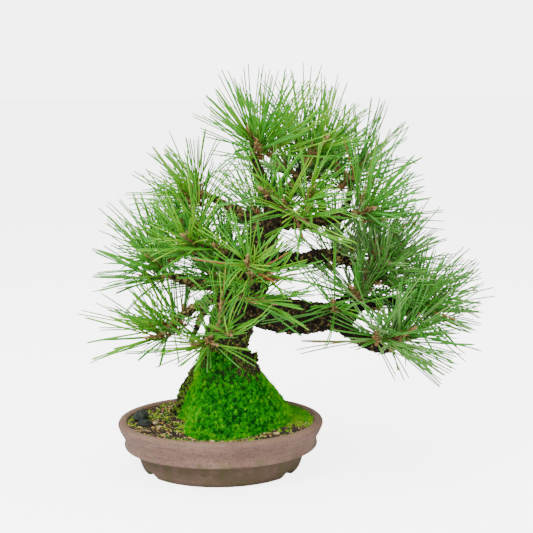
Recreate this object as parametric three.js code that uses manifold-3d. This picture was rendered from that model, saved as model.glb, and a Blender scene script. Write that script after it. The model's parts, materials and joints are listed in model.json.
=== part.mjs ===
// Japanese black pine bonsai growing in a round unglazed clay pot.
// Units are millimetres, +Z is up and the front of the tree faces -Y.
// The origin lies on the plane that the pot stands on, under the middle of the whole outline.
// Every size below is measured from the middle of the pot, which OUTLINE_MIDDLE moves off the origin.
import * as THREE from "three";
import { mergeVertices } from "three/addons/utils/BufferGeometryUtils.js";
import Module from "manifold-3d";

const wasm = await Module();
wasm.setup();

// Middle of the whole outline, seen from the middle of the pot.
const OUTLINE_MIDDLE = { x: 73.1, y: 5.7 };

// Clearance between two pieces that touch on the real plant.
const GAP = 0.3;

// Pot, turned about Z. The foot ring is cut by three arched notches.
const POT = {
  sides: 36,
  footRadius: 77.5,
  footTopRadius: 86.5,
  footInnerRadius: 66,
  undersideHeight: 4.6,
  bandHeight: 24.1,
  bandRadius: 99,
  neckRadius: 98.2,
  neckHeight: 32.3,
  rimRadius: 105.2,
  rimHeight: 47.4,
  topHeight: 51.6,
  lipInnerRadius: 95.6,
  floorRadius: 78,
  floorHeight: 11,
  drainRadius: 7,
};
const NOTCH = { width: 18, height: 4.2, angles: [-30, -150, 90] };

// Soil fills the pot to just below its lip, and its top is the ground level of the tree.
const GROUND = 48;

// Roots spread under the moss from the foot of the trunk, in degrees about Z.
const TRUNK_FOOT = { x: 5, y: 0 };
const COLLAR = { radius: 23.5, height: 127 };
const SPREAD = 60;
const FLARE = { share: 0.55, power: 2.2, bareRise: 1.6 };
const ROOT_RIDGES = [
  { angle: -102, reach: 24, width: 38, bare: 0 },
  { angle: 2, reach: 8, width: 34, bare: 0 },
  { angle: 32, reach: 15, width: 16, bare: 0 },
  { angle: 146, reach: 0, width: 20, bare: 27 },
];
const LEFT_HOLLOW = { angle: -160, depth: 26, width: 36 };
const MOUND = {
  sides: 26, rings: 8, bumps: 1.6, slope: 0.78, roundness: 1.05, sharpness: 6, shoulder: 1.5,
};

// Trunk above the collar: places of its centre line, with the radius there.
const TRUNK = {
  sides: 16,
  flareRings: 6,
  rings: 17,
  roughness: 0.07,
  line: [
    [5, 0, 127, 23.5],
    [13, 0, 152, 22.5],
    [27, 1, 184, 20.5],
    [39, 4, 212, 18.5],
    [44, 5, 236, 16],
    [55, 1, 259, 11],
    [51, -4, 281, 7],
    [40, -9, 309, 4.2],
    [36, -10, 319, 3.4],
  ],
};
const STUB = { from: [18, -4, 112], to: [39, -7, 117], radii: [6, 4.4] };

// Each limb leaves its parent at a share of the parent's length, ends at its tip and bows between them.
const LIMB_SIDES = 7;
const LIMB_STEP = 16;
const LIMB_CROOK = 2.2;
const LIMBS = [
  {
    name: "bough_low_right", parent: "trunk", at: 0.2,
    tip: [134, -26, 163], bow: [0, -2, -9], radii: [14, 10], swell: 6,
  },
  {
    name: "bough_low_right_upper", parent: "bough_low_right", at: 0.93,
    tip: [190, 12, 168], bow: [0, -5, 8], radii: [7.5, 4],
  },
  {
    name: "bough_low_right_fork", parent: "bough_low_right", at: 0.8,
    tip: [168, -40, 129], bow: [3, -6, -5], radii: [8, 5.2],
  },
  {
    name: "bough_right_rear", parent: "bough_low_right", at: 0.7,
    tip: [140, 38, 175], bow: [-4, 2, -3], radii: [6, 3.2],
  },
  {
    name: "bough_mid_right", parent: "trunk", at: 0.4,
    tip: [110, 26, 215], bow: [0, 4, -4], radii: [11, 6.5],
  },
  {
    name: "bough_mid_right_end", parent: "bough_mid_right", at: 0.95,
    tip: [142, 20, 203], bow: [0, 2, 5], radii: [7, 4.6],
  },
  {
    name: "bough_right_back", parent: "bough_mid_right", at: 0.7,
    tip: [122, 78, 208], bow: [-3, 2, 4], radii: [5.4, 3],
  },
  {
    name: "bough_upper_right", parent: "trunk", at: 0.6,
    tip: [134, -12, 262], bow: [0, 4, -4], radii: [8.5, 4.2],
  },
  {
    name: "bough_upper_right_spur", parent: "bough_upper_right", at: 0.62,
    tip: [101, -27, 281], bow: [2, -3, -2], radii: [4.6, 3.2],
  },
  {
    name: "bough_crown_right", parent: "bough_upper_right", at: 0.8,
    tip: [136, 22, 292], bow: [2, 3, -3], radii: [4.4, 3],
  },
  {
    name: "bough_crown_top", parent: "trunk", at: 0.74,
    tip: [86, 16, 310], bow: [3, 0, -3], radii: [5.4, 3],
  },
  {
    name: "bough_upper_front", parent: "trunk", at: 0.66,
    tip: [64, -50, 281], bow: [0, 0, -4], radii: [5.6, 3.4],
  },
  {
    name: "bough_upper_left", parent: "trunk", at: 0.57,
    tip: [-11, 9, 281], bow: [0, 3, -3], radii: [6.4, 3],
  },
  {
    name: "bough_left_rise", parent: "trunk", at: 0.42,
    tip: [-12, -26, 234], bow: [0, -4, -4], radii: [7, 3.4],
  },
  {
    name: "bough_left_back", parent: "trunk", at: 0.36,
    tip: [-26, 34, 218], bow: [0, 3, -4], radii: [6.6, 3.2],
  },
  {
    name: "bough_left_mid", parent: "trunk", at: 0.28,
    tip: [-48, -2, 199], bow: [2, -3, -6], radii: [9, 4.2],
  },
  {
    name: "bough_left_low", parent: "trunk", at: 0.2,
    tip: [-43, -14, 156], bow: [0, -12, 12], radii: [7.4, 3.6],
  },
  {
    name: "bough_left_droop", parent: "bough_left_low", at: 0.52,
    tip: [-27, -34, 139], bow: [2, -3, 2], radii: [4, 2.8],
  },
  {
    name: "bough_front_low", parent: "trunk", at: 0.13,
    tip: [2, -62, 158], bow: [0, -2, -3], radii: [6.4, 3.6],
  },
  {
    name: "bough_front_mid", parent: "trunk", at: 0.25,
    tip: [25, -64, 186], bow: [2, 0, -4], radii: [6.6, 3.6],
  },
  {
    name: "bough_front_high", parent: "trunk", at: 0.37,
    tip: [31, -66, 213], bow: [-2, 0, -4], radii: [6.4, 3.6],
  },
  {
    name: "bough_back_low", parent: "trunk", at: 0.17,
    tip: [12, 78, 176], bow: [0, 2, -4], radii: [7.4, 3.6],
  },
  {
    name: "bough_back_mid", parent: "trunk", at: 0.46,
    tip: [52, 76, 240], bow: [-3, 2, -4], radii: [7, 3.4],
  },
  {
    name: "bough_back_high", parent: "trunk", at: 0.63,
    tip: [80, 50, 283], bow: [-2, 3, -3], radii: [5.4, 3],
  },
];

// Each mass of needles grows on from the tip of a limb to its leader.
// Side twigs branch from that stem by a seeded rule.
const STEM = { radius: 3, elbow: 0.45 };
const TWIG = {
  sides: 5,
  radius: 2.3,
  tipRadius: 1.9,
  lowest: 0.3,
  highest: 0.85,
  tilt: 54,
  length: 23,
  lift: 0.22,
  spread: 0.15,
};
const MASSES = [
  {
    name: "needles_apex", limb: "trunk", leader: [38, -12, 338],
    aim: [-0.3, -0.15, 0.95], sides: 3, seed: 212, reach: 1.08,
  },
  {
    name: "needles_crown_top", limb: "bough_crown_top", leader: [96, 20, 329],
    aim: [0.25, 0.1, 0.95], sides: 3, seed: 224, reach: 0.95,
  },
  {
    name: "needles_crown_right", limb: "bough_crown_right", leader: [141, 30, 302],
    aim: [0.6, 0.2, 0.75], sides: 3, seed: 212, reach: 0.9,
  },
  {
    name: "needles_crown_back", limb: "bough_back_high", leader: [86, 68, 308],
    aim: [0.1, 0.6, 0.78], sides: 3, seed: 201,
  },
  {
    name: "needles_upper_front", limb: "bough_upper_front", leader: [64, -70, 282],
    aim: [-0.1, -0.85, 0.4], sides: 2, seed: 207,
  },
  {
    name: "needles_upper_spur", limb: "bough_upper_right_spur", leader: [96, -42, 292],
    aim: [0.45, -0.45, 0.75], sides: 1, seed: 224,
  },
  {
    name: "needles_upper_right", limb: "bough_upper_right", leader: [155, -22, 272],
    aim: [0.8, -0.3, 0.5], sides: 3, seed: 330, reach: 0.9,
  },
  {
    name: "needles_upper_left", limb: "bough_upper_left", leader: [-26, 10, 288],
    aim: [-0.45, 0.0, 0.9], sides: 2, seed: 204, reach: 0.9,
  },
  {
    name: "needles_left_rise", limb: "bough_left_rise", leader: [-28, -32, 244],
    aim: [-0.45, -0.25, 0.85], sides: 4, seed: 221, reach: 0.9,
  },
  {
    name: "needles_left_back", limb: "bough_left_back", leader: [-42, 42, 232],
    aim: [-0.6, 0.35, 0.7], sides: 3, seed: 224, reach: 0.9,
  },
  {
    name: "needles_left_mid", limb: "bough_left_mid", leader: [-64, -1, 208],
    aim: [-0.85, -0.05, 0.5], sides: 3, seed: 214, reach: 0.97,
  },
  {
    name: "needles_left_low", limb: "bough_left_low", leader: [-58, -10, 152],
    aim: [-0.85, -0.1, 0.5], sides: 2, seed: 204,
  },
  {
    name: "needles_left_droop", limb: "bough_left_droop", leader: [-28, -36, 131],
    aim: [-0.9, -0.3, -0.1], sides: 1, seed: 213, reach: 0.9,
  },
  {
    name: "needles_front_low", limb: "bough_front_low", leader: [2, -82, 166],
    aim: [0.0, -0.8, 0.45], sides: 2, seed: 221, reach: 0.95,
  },
  {
    name: "needles_front_mid", limb: "bough_front_mid", leader: [36, -86, 187],
    aim: [0.55, -0.7, 0.0], sides: 1, seed: 202,
  },
  {
    name: "needles_front_high", limb: "bough_front_high", leader: [34, -88, 215],
    aim: [0.1, -0.7, 0.65], sides: 2, seed: 218,
  },
  {
    name: "needles_mid_right", limb: "bough_mid_right_end", leader: [175, 6, 208],
    aim: [0.75, -0.1, 0.6], sides: 6, seed: 201,
  },
  {
    name: "needles_right_back", limb: "bough_right_back", leader: [130, 96, 210],
    aim: [0.45, 0.75, 0.45], sides: 3, seed: 348,
  },
  {
    name: "needles_right_rear", limb: "bough_right_rear", leader: [148, 50, 180],
    aim: [0.0, 0.5, 0.8], sides: 3, seed: 218, reach: 0.9,
  },
  {
    name: "needles_right_end", limb: "bough_low_right_upper", leader: [211, 4, 164],
    aim: [0.85, 0.0, 0.45], sides: 4, seed: 206, reach: 0.9,
  },
  {
    name: "needles_right_fork", limb: "bough_low_right_fork", leader: [186, -36, 138],
    aim: [0.75, -0.35, 0.1], sides: 3, seed: 212,
  },
  {
    name: "needles_back_low", limb: "bough_back_low", leader: [6, 98, 181],
    aim: [-0.25, 0.85, 0.4], sides: 4, seed: 206,
  },
  {
    name: "needles_back_mid", limb: "bough_back_mid", leader: [53, 98, 248],
    aim: [0.1, 0.8, 0.55], sides: 4, seed: 202, reach: 1.05,
  },
];

// Each twig ends in a slim core. Needles stand out of its faces, fewer and thicker than the real ones.
const CORE = { radii: [3, 3.5, 2.3], places: [0, 5, 10], nose: 13, behind: 9 };
// A needle tilts from widest at the back of the core to steepest at its nose, in degrees.
// Where its full length would leave its twig's space, it takes the next of the shorter lengths.
const NEEDLE = {
  length: 58,
  width: 3.4,
  widest: 88,
  steepest: 12,
  wobble: 8,
  share: 0.66,
  shares: [1, 0.78, 0.58],
};
// How much nearer a needle stays to its own twig than to another mass, or to another twig of its mass.
const MASS_MARGIN = 4;
const TWIG_MARGIN = 1;
// How far needles stay from the limbs and from the moss.
const LIMB_MARGIN = 1.6;
const MOSS_MARGIN = 6;
const GOLDEN_ANGLE = Math.PI * (3 - Math.sqrt(5));

const STONE = { centre: [-79, 2, 51], size: [14, 12, 11], seed: 7 };

const vector = (place) => new THREE.Vector3(...place);
const radians = THREE.MathUtils.degToRad;
const degreesOf = THREE.MathUtils.radToDeg;

function material(color, roughness) {
  return new THREE.MeshStandardMaterial({ color, roughness, metalness: 0 });
}

// Numbers from 0 to 1 that repeat for one seed.
function seeded(seed) {
  let state = (seed * 747796405 + 2891336453) >>> 0;
  return () => {
    state = (Math.imul(state, 1664525) + 1013904223) >>> 0;
    return (state >>> 8) / 16777216;
  };
}

function solidFrom(geometry) {
  const bare = geometry.clone();
  bare.deleteAttribute("normal");
  bare.deleteAttribute("uv");
  const merged = mergeVertices(bare, 1e-4);
  return new wasm.Manifold(
    new wasm.Mesh({
      numProp: 3,
      vertProperties: merged.attributes.position.array,
      triVerts: new Uint32Array(merged.index.array),
    }),
  );
}

function geometryFrom(solid) {
  const mesh = solid.getMesh();
  const geometry = new THREE.BufferGeometry();
  geometry.setAttribute("position", new THREE.BufferAttribute(new Float32Array(mesh.vertProperties), 3));
  geometry.setIndex(new THREE.BufferAttribute(new Uint32Array(mesh.triVerts), 1));
  geometry.computeVertexNormals();
  return geometry;
}

// The largest of the bodies that a cut leaves.
function largestBody(solid) {
  return solid.decompose().reduce((best, body) => (body.volume() > best.volume() ? body : best));
}

function smoothLine(places) {
  return new THREE.CatmullRomCurve3(places, false, "catmullrom", 0.5);
}

// A closed skin over rings of equally many points, with a flat fan at each end.
function loft(rings, nose) {
  const sides = rings[0].length;
  const points = rings.flat();
  const middle = (ring) => ring.reduce((sum, p) => sum.add(p), new THREE.Vector3()).divideScalar(sides);
  const first = points.push(middle(rings[0])) - 1;
  const last = points.push(nose ?? middle(rings.at(-1))) - 1;
  const top = (rings.length - 1) * sides;
  const index = [];
  for (let side = 0; side < sides; side++) {
    const next = (side + 1) % sides;
    index.push(first, next, side, last, top + side, top + next);
    for (let base = 0; base < top; base += sides) {
      index.push(base + side, base + next, base + sides + next);
      index.push(base + side, base + sides + next, base + sides + side);
    }
  }
  const geometry = new THREE.BufferGeometry().setFromPoints(points);
  geometry.setIndex(index);
  geometry.computeVertexNormals();
  return geometry;
}

// A direction that isn't along the tangent, for the first frame on a curve.
function startingSide(tangent) {
  return Math.abs(tangent.z) > 0.9 ? vector([1, 0, 0]) : vector([0, 0, 1]);
}

// Two directions square to a tangent, the first carried on from the ring before.
function carriedFrame(tangent, before) {
  const across = before.clone().addScaledVector(tangent, -before.dot(tangent)).normalize();
  return [across, new THREE.Vector3().crossVectors(tangent, across)];
}

// Rings round a curve. radiusAt gives the radius at a share of the curve and an angle.
function ringsAlong(curve, count, sides, radiusAt) {
  const rings = [];
  let across = startingSide(curve.getTangent(0));
  for (let ring = 0; ring <= count; ring++) {
    const share = ring / count;
    const centre = curve.getPoint(share);
    const [u, v] = carriedFrame(curve.getTangent(share), across);
    across = u;
    rings.push(
      Array.from({ length: sides }, (_, side) => {
        const angle = (2 * Math.PI * side) / sides;
        const radius = radiusAt(share, angle, ring, side);
        const point = centre.clone().addScaledVector(u, radius * Math.cos(angle));
        return point.addScaledVector(v, radius * Math.sin(angle));
      }),
    );
  }
  return rings;
}

// A smooth bump, 1 at the centre and falling off over the width, both in degrees.
function bump(angle, centre, width) {
  const turn = THREE.MathUtils.euclideanModulo(angle - centre + 180, 360) - 180;
  return Math.exp(-((turn / width) ** 2));
}

// How far the roots and the moss over them reach from the foot of the trunk in one direction.
function moundReach(degrees) {
  const ridges = ROOT_RIDGES.reduce((sum, r) => sum + r.reach * bump(degrees, r.angle, r.width), 0);
  return SPREAD + ridges - LEFT_HOLLOW.depth * bump(degrees, LEFT_HOLLOW.angle, LEFT_HOLLOW.width);
}

// How much further a root that no moss covers stands out at the ground.
function bareRoot(degrees) {
  return ROOT_RIDGES.reduce((sum, r) => sum + r.bare * bump(degrees, r.angle, r.width), 0);
}

// Height of the moss at a distance from the trunk: steep at the collar, even below it.
function moundHeight(distance, reach) {
  const share = THREE.MathUtils.clamp((distance - COLLAR.radius) / (reach - COLLAR.radius), 0, 1);
  const even = MOUND.slope * (1 - share ** MOUND.roundness);
  const steep = (1 - MOUND.slope) * (1 - share) ** MOUND.sharpness;
  return GROUND + (COLLAR.height - GROUND) * (even + steep);
}

// Radius and height of places down the inside of the pot, from the lip to the floor.
function innerWall() {
  const wall = new THREE.QuadraticBezierCurve(
    new THREE.Vector2(POT.lipInnerRadius, POT.topHeight - 3),
    new THREE.Vector2(POT.lipInnerRadius - 5, POT.floorHeight + 12),
    new THREE.Vector2(POT.floorRadius, POT.floorHeight),
  );
  return wall.getPoints(2).map((place) => [place.x, place.y]);
}

function makePot() {
  const profile = new THREE.Path();
  profile.moveTo(POT.drainRadius, POT.undersideHeight);
  profile.lineTo(POT.footInnerRadius - 4, POT.undersideHeight);
  profile.lineTo(POT.footInnerRadius, 0);
  profile.lineTo(POT.footRadius, 0);
  profile.lineTo(POT.footRadius + 4.5, 6);
  profile.lineTo(POT.footTopRadius, POT.bandHeight);
  profile.lineTo(POT.bandRadius - 1.2, POT.bandHeight);
  profile.lineTo(POT.bandRadius, POT.bandHeight + 1.4);
  const neck = [POT.neckRadius + 1.2, POT.neckHeight + 3];
  profile.quadraticCurveTo(POT.neckRadius - 0.6, POT.neckHeight - 1, ...neck);
  profile.quadraticCurveTo(POT.rimRadius - 1.6, POT.rimHeight - 6, POT.rimRadius, POT.rimHeight);
  profile.quadraticCurveTo(POT.rimRadius - 0.8, POT.topHeight, POT.rimRadius - 5, POT.topHeight);
  profile.lineTo(POT.lipInnerRadius, POT.topHeight - 3);
  const wall = innerWall().map(([radius, height]) => new THREE.Vector2(radius, height));
  const floor = [new THREE.Vector2(POT.drainRadius, POT.floorHeight), profile.getPoint(0)];
  const outline = [...profile.getPoints(2), ...wall.slice(1), ...floor];
  const turned = new THREE.LatheGeometry(outline, POT.sides).rotateX(Math.PI / 2);
  let pot = solidFrom(turned);
  const arch = new THREE.Shape();
  arch.moveTo(-NOTCH.width / 2, -2);
  arch.lineTo(NOTCH.width / 2, -2);
  arch.lineTo(NOTCH.width / 2, 0);
  arch.quadraticCurveTo(NOTCH.width / 3, NOTCH.height, 0, NOTCH.height);
  arch.quadraticCurveTo(-NOTCH.width / 3, NOTCH.height, -NOTCH.width / 2, 0);
  arch.closePath();
  for (const angle of NOTCH.angles) {
    const depth = POT.footTopRadius + 4 - (POT.footInnerRadius - 8);
    const cutter = new THREE.ExtrudeGeometry(arch, { depth, bevelEnabled: false, curveSegments: 2 });
    cutter.rotateX(Math.PI / 2).translate(0, POT.footTopRadius + 4, 0).rotateZ(radians(angle - 90));
    pot = pot.subtract(solidFrom(cutter));
  }
  return geometryFrom(pot);
}

function makeSoil() {
  const wall = innerWall()
    .reverse()
    .map(([radius, height]) => new THREE.Vector2(radius - GAP - 0.1, Math.min(height, GROUND - 0.8)));
  const crest = new THREE.Vector2(POT.lipInnerRadius - 2.4, GROUND);
  const outline = [new THREE.Vector2(0, POT.floorHeight), ...wall, crest, new THREE.Vector2(0, GROUND)];
  return new THREE.LatheGeometry(outline, POT.sides).rotateX(Math.PI / 2);
}

// Trunk with its root flare, grown outward by the clearance when it cuts a neighbour.
function makeTrunk(grow) {
  const random = seeded(3);
  const ridges = Array.from({ length: TRUNK.sides }, () => 1 + TRUNK.roughness * (2 * random() - 1));
  const rings = [];
  for (let ring = 0; ring < TRUNK.flareRings; ring++) {
    const rise = ring / TRUNK.flareRings;
    const height = THREE.MathUtils.lerp(GROUND, COLLAR.height, rise) - (ring ? 0 : grow);
    const flare = (1 - rise) ** FLARE.power;
    rings.push(
      ridges.map((ridge, side) => {
        const angle = (2 * Math.PI * side) / TRUNK.sides;
        const degrees = degreesOf(angle);
        const under = FLARE.share * (moundReach(degrees) - COLLAR.radius);
        const root = bareRoot(degrees) * Math.min(1, FLARE.bareRise * (1 - rise));
        const radius = COLLAR.radius * ridge + under * flare + root + grow;
        return new THREE.Vector3(
          TRUNK_FOOT.x + radius * Math.cos(angle),
          TRUNK_FOOT.y + radius * Math.sin(angle),
          height,
        );
      }),
    );
  }
  const radiusAt = (share, angle, ring, side) => {
    const wave = 1 + TRUNK.roughness * Math.sin(5 * share * Math.PI + 2 * angle);
    return trunkRadius(share) * wave * (ring ? 1 : ridges[side]) + grow;
  };
  const upper = ringsAlong(trunkLine(grow), TRUNK.rings, TRUNK.sides, radiusAt);
  const stem = solidFrom(loft([...rings, ...upper]));
  const stub = new THREE.LineCurve3(vector(STUB.from), vector(STUB.to));
  const stubRadius = (share) => THREE.MathUtils.lerp(...STUB.radii, share) + grow;
  return stem.add(solidFrom(loft(ringsAlong(stub, 2, 7, stubRadius))));
}

function trunkLine(grow) {
  const places = TRUNK.line.map(([x, y, z]) => new THREE.Vector3(x, y, z));
  const end = places.at(-1);
  end.addScaledVector(end.clone().sub(places.at(-2)).normalize(), grow);
  return smoothLine(places);
}

function trunkRadius(share) {
  const place = share * (TRUNK.line.length - 1);
  const below = Math.min(Math.floor(place), TRUNK.line.length - 2);
  return THREE.MathUtils.lerp(TRUNK.line[below][3], TRUNK.line[below + 1][3], place - below);
}

// Centre line and radius of every limb, the trunk first.
function traceLimbs() {
  const traced = new Map([["trunk", { curve: trunkLine(0), radiusAt: trunkRadius }]]);
  LIMBS.forEach((limb, order) => {
    const random = seeded(100 + order);
    const start = traced.get(limb.parent).curve.getPoint(limb.at);
    const tip = vector(limb.tip);
    const places = [0, 0.25, 0.5, 0.75, 1].map((share) => {
      const crook = LIMB_CROOK * Math.sin(Math.PI * share);
      const place = start.clone().lerp(tip, share);
      place.addScaledVector(vector(limb.bow), 4 * share * (1 - share));
      const sway = new THREE.Vector3(random() - 0.5, random() - 0.5, random() - 0.5);
      return place.addScaledVector(sway, 2 * crook);
    });
    const radiusAt = (share) =>
      THREE.MathUtils.lerp(...limb.radii, share) + (limb.swell ?? 0) * Math.sin(Math.PI * share ** 0.8);
    traced.set(limb.name, { curve: smoothLine(places), radiusAt });
  });
  return traced;
}

function makeLimb(name, traced, grow) {
  const { curve, radiusAt } = traced.get(name);
  const random = seeded(name.length * 31 + Math.round(curve.getLength()));
  const count = Math.max(4, Math.round(curve.getLength() / LIMB_STEP));
  const rough = (share) => radiusAt(share) * (1 + 0.12 * (random() - 0.5)) + grow;
  return solidFrom(loft(ringsAlong(curve, count, LIMB_SIDES, rough)));
}

// Places along every limb, with the radius there, that needles keep clear of.
function limbStations(traced) {
  const stations = [];
  for (const { curve, radiusAt } of traced.values()) {
    const count = Math.round(curve.getLength() / 4);
    for (let step = 0; step <= count; step++) {
      stations.push({ place: curve.getPoint(step / count), radius: radiusAt(step / count) });
    }
  }
  return stations;
}

// The stem of a mass and the side twigs that leave it, each with the way its spray looks.
function growTwigs(mass, traced) {
  const random = seeded(mass.seed);
  const { curve, radiusAt } = traced.get(mass.limb);
  const onward = curve.getTangent(1);
  const root = curve.getPoint(1).addScaledVector(onward, GAP);
  const aim = vector(mass.aim).normalize();
  const leader = vector(mass.leader).addScaledVector(aim, -CORE.behind);
  const reach = root.distanceTo(leader);
  const elbow = root.clone().addScaledVector(onward, STEM.elbow * reach);
  const stem = new THREE.QuadraticBezierCurve3(root, elbow, leader);
  const needleReach = mass.reach ?? 1;
  const stemRadii = [Math.min(radiusAt(1) - 0.2, STEM.radius), TWIG.tipRadius];
  const twigs = [{ mass: mass.name, curve: stem, radii: stemRadii, aim, reach: needleReach }];
  const phase = 2 * Math.PI * random();
  for (let side = 0; side < mass.sides; side++) {
    const share = mass.sides > 1 ? side / (mass.sides - 1) : 0.5;
    const at = THREE.MathUtils.lerp(TWIG.lowest, TWIG.highest, share);
    const foot = stem.getPoint(at);
    const along = stem.getTangent(at);
    const [u, v] = carriedFrame(along, startingSide(along));
    const turn = phase + side * GOLDEN_ANGLE;
    const tilt = radians(TWIG.tilt * (1 + TWIG.spread * (2 * random() - 1)));
    const way = along.clone().multiplyScalar(Math.cos(tilt));
    way.addScaledVector(u, Math.sin(tilt) * Math.cos(turn));
    way.addScaledVector(v, Math.sin(tilt) * Math.sin(turn));
    way.z += TWIG.lift;
    way.normalize();
    const length = TWIG.length * (1 + TWIG.spread * (2 * random() - 1));
    const bend = foot.clone().addScaledVector(way, 0.5 * length);
    const end = foot.clone().addScaledVector(way, length);
    end.z += TWIG.lift * 0.4 * length;
    const sideAim = way.clone().addScaledVector(aim, 0.8).normalize();
    twigs.push({
      mass: mass.name,
      curve: new THREE.QuadraticBezierCurve3(foot, bend, end),
      radii: [TWIG.radius, TWIG.tipRadius],
      aim: sideAim,
      reach: needleReach,
    });
  }
  return twigs;
}

// True where a place belongs to one twig more than to any other, clears every limb and lies above the moss.
function keepsItsSpace(place, own, sites, stations, slack) {
  const nearest = { own: Infinity, sibling: Infinity, other: Infinity };
  for (const site of sites) {
    const kin = site.twig === own ? "own" : site.twig.mass === own.mass ? "sibling" : "other";
    nearest[kin] = Math.min(nearest[kin], site.place.distanceTo(place));
  }
  if (nearest.other - nearest.own < MASS_MARGIN) return false;
  if (nearest.sibling - nearest.own < TWIG_MARGIN) return false;
  if (stations.some((s) => s.place.distanceTo(place) < s.radius + slack + LIMB_MARGIN)) return false;
  const fromFoot = Math.hypot(place.x - TRUNK_FOOT.x, place.y - TRUNK_FOOT.y);
  const degrees = degreesOf(Math.atan2(place.y - TRUNK_FOOT.y, place.x - TRUNK_FOOT.x));
  return place.z > moundHeight(fromFoot, moundReach(degrees)) + MOSS_MARGIN;
}

function coreMiddle(twig) {
  return twig.curve.getPoint(1).addScaledVector(twig.aim, CORE.nose / 2);
}

// A twig that ends in its core, with a needle on most faces of the core.
function makeShoot(twig, random, clear) {
  const radiusAt = (share) => THREE.MathUtils.lerp(...twig.radii, share);
  const stalk = ringsAlong(twig.curve, 3, TWIG.sides, radiusAt).slice(0, 3);
  const tip = twig.curve.getPoint(1);
  const inner = twig.curve.getTangent(0.8);
  const across = stalk[2][0].clone().sub(twig.curve.getPoint(2 / 3));
  const [u] = carriedFrame(inner, across);
  const [coreU, coreV] = carriedFrame(twig.aim, u);
  const core = CORE.places.map((forward, ring) =>
    Array.from({ length: TWIG.sides }, (_, side) => {
      const angle = (2 * Math.PI * side) / TWIG.sides;
      const place = tip.clone().addScaledVector(twig.aim, forward);
      place.addScaledVector(coreU, CORE.radii[ring] * Math.cos(angle));
      return place.addScaledVector(coreV, CORE.radii[ring] * Math.sin(angle));
    }),
  );
  const nose = tip.clone().addScaledVector(twig.aim, CORE.nose);
  const body = loft([...stalk, ...core], nose);
  const places = body.attributes.position;
  const corner = (i) => new THREE.Vector3().fromBufferAttribute(places, i);
  const points = Array.from({ length: places.count }, (_, i) => corner(i));
  const firstOfCore = stalk.length * TWIG.sides;
  const base = points.length - 2;
  const index = [];
  for (let face = 0; face < body.index.count; face += 3) {
    const corners = [0, 1, 2].map((offset) => body.index.getX(face + offset));
    const needle = corners.every((i) => i >= firstOfCore && i !== base)
      ? needleTip(corners.map((i) => points[i]), tip, twig, random, clear)
      : null;
    if (needle) {
      const apex = points.push(needle) - 1;
      const [a, b, c] = corners;
      index.push(a, b, apex, b, c, apex, c, a, apex);
    } else {
      index.push(...corners);
    }
  }
  const geometry = new THREE.BufferGeometry().setFromPoints(points);
  geometry.setIndex(index);
  return solidFrom(geometry);
}

// Where the needle on one face of a core ends, or nothing where that face stays bare.
function needleTip(corners, tip, { aim, reach }, random, clear) {
  const root = corners.reduce((sum, p) => sum.add(p), new THREE.Vector3()).divideScalar(3);
  const full = NEEDLE.length * reach * (0.88 + 0.12 * random());
  const wobble = NEEDLE.wobble * (2 * random() - 1);
  if (random() > NEEDLE.share) return null;
  const fromTip = root.clone().sub(tip);
  const forward = fromTip.dot(aim);
  const outward = fromTip.addScaledVector(aim, -forward).normalize();
  const spread = THREE.MathUtils.lerp(NEEDLE.widest, NEEDLE.steepest, forward / CORE.nose);
  const tilt = radians(spread + wobble);
  const way = aim.clone().multiplyScalar(Math.cos(tilt)).addScaledVector(outward, Math.sin(tilt));
  const share = NEEDLE.shares.find((part) =>
    [0.15, 0.3, 0.45, 0.6, 0.75, 0.9, 1].every((step) =>
      clear(root.clone().addScaledVector(way, step * part * full), 0.5 * NEEDLE.width * (1 - step)),
    ),
  );
  return share ? root.addScaledVector(way, share * full) : null;
}

function makeMass(mass, twigs, sites, stations) {
  const random = seeded(mass.seed + 500);
  const shoots = twigs.map((twig) =>
    makeShoot(twig, random, (place, slack) => keepsItsSpace(place, twig, sites, stations, slack)),
  );
  return geometryFrom(largestBody(shoots.reduce((whole, shoot) => whole.add(shoot))));
}

function makeMound(trunkCutter) {
  const random = seeded(5);
  const rings = [];
  for (let ring = 0; ring <= MOUND.rings; ring++) {
    const share = ring / MOUND.rings;
    rings.push(
      Array.from({ length: MOUND.sides }, (_, side) => {
        const angle = (2 * Math.PI * side) / MOUND.sides;
        const reach = moundReach(degreesOf(angle));
        const distance = THREE.MathUtils.lerp(reach, COLLAR.radius - 6, share);
        const rough = ring && ring < MOUND.rings ? MOUND.bumps * (2 * random() - 1) : 0;
        const shoulder = MOUND.shoulder * Math.sin(Math.PI * share);
        return new THREE.Vector3(
          TRUNK_FOOT.x + distance * Math.cos(angle),
          TRUNK_FOOT.y + distance * Math.sin(angle),
          moundHeight(distance, reach) + rough + shoulder,
        );
      }),
    );
  }
  return geometryFrom(largestBody(solidFrom(loft(rings)).subtract(trunkCutter)));
}

function makeStone() {
  const random = seeded(STONE.seed);
  const ball = new THREE.IcosahedronGeometry(1, 1).deleteAttribute("normal").deleteAttribute("uv");
  const stone = mergeVertices(ball);
  const place = stone.attributes.position;
  for (let i = 0; i < place.count; i++) {
    const bulge = 0.85 + 0.25 * random();
    place.setXYZ(
      i,
      STONE.centre[0] + (STONE.size[0] / 2) * bulge * place.getX(i),
      STONE.centre[1] + (STONE.size[1] / 2) * bulge * place.getY(i),
      Math.max(GROUND, STONE.centre[2] + STONE.size[2] * 0.7 * bulge * place.getZ(i)),
    );
  }
  return stone;
}

const FINISH = {
  pot: material(0x8d7166, 0.85),
  soil: material(0x3f3127, 0.95),
  bark: material(0x2f2720, 0.95),
  moss: material(0x2f8a12, 0.9),
  stone: material(0x3c4238, 0.8),
  needles: material(0x2f7d1f, 0.55),
};

const bonsai = new THREE.Group();
const planting = new THREE.Group();
const pottedSoil = new THREE.Group();
const tree = new THREE.Group();
planting.position.set(-OUTLINE_MIDDLE.x, -OUTLINE_MIDDLE.y, 0);
planting.add(pottedSoil, tree);
bonsai.add(planting);

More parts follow.
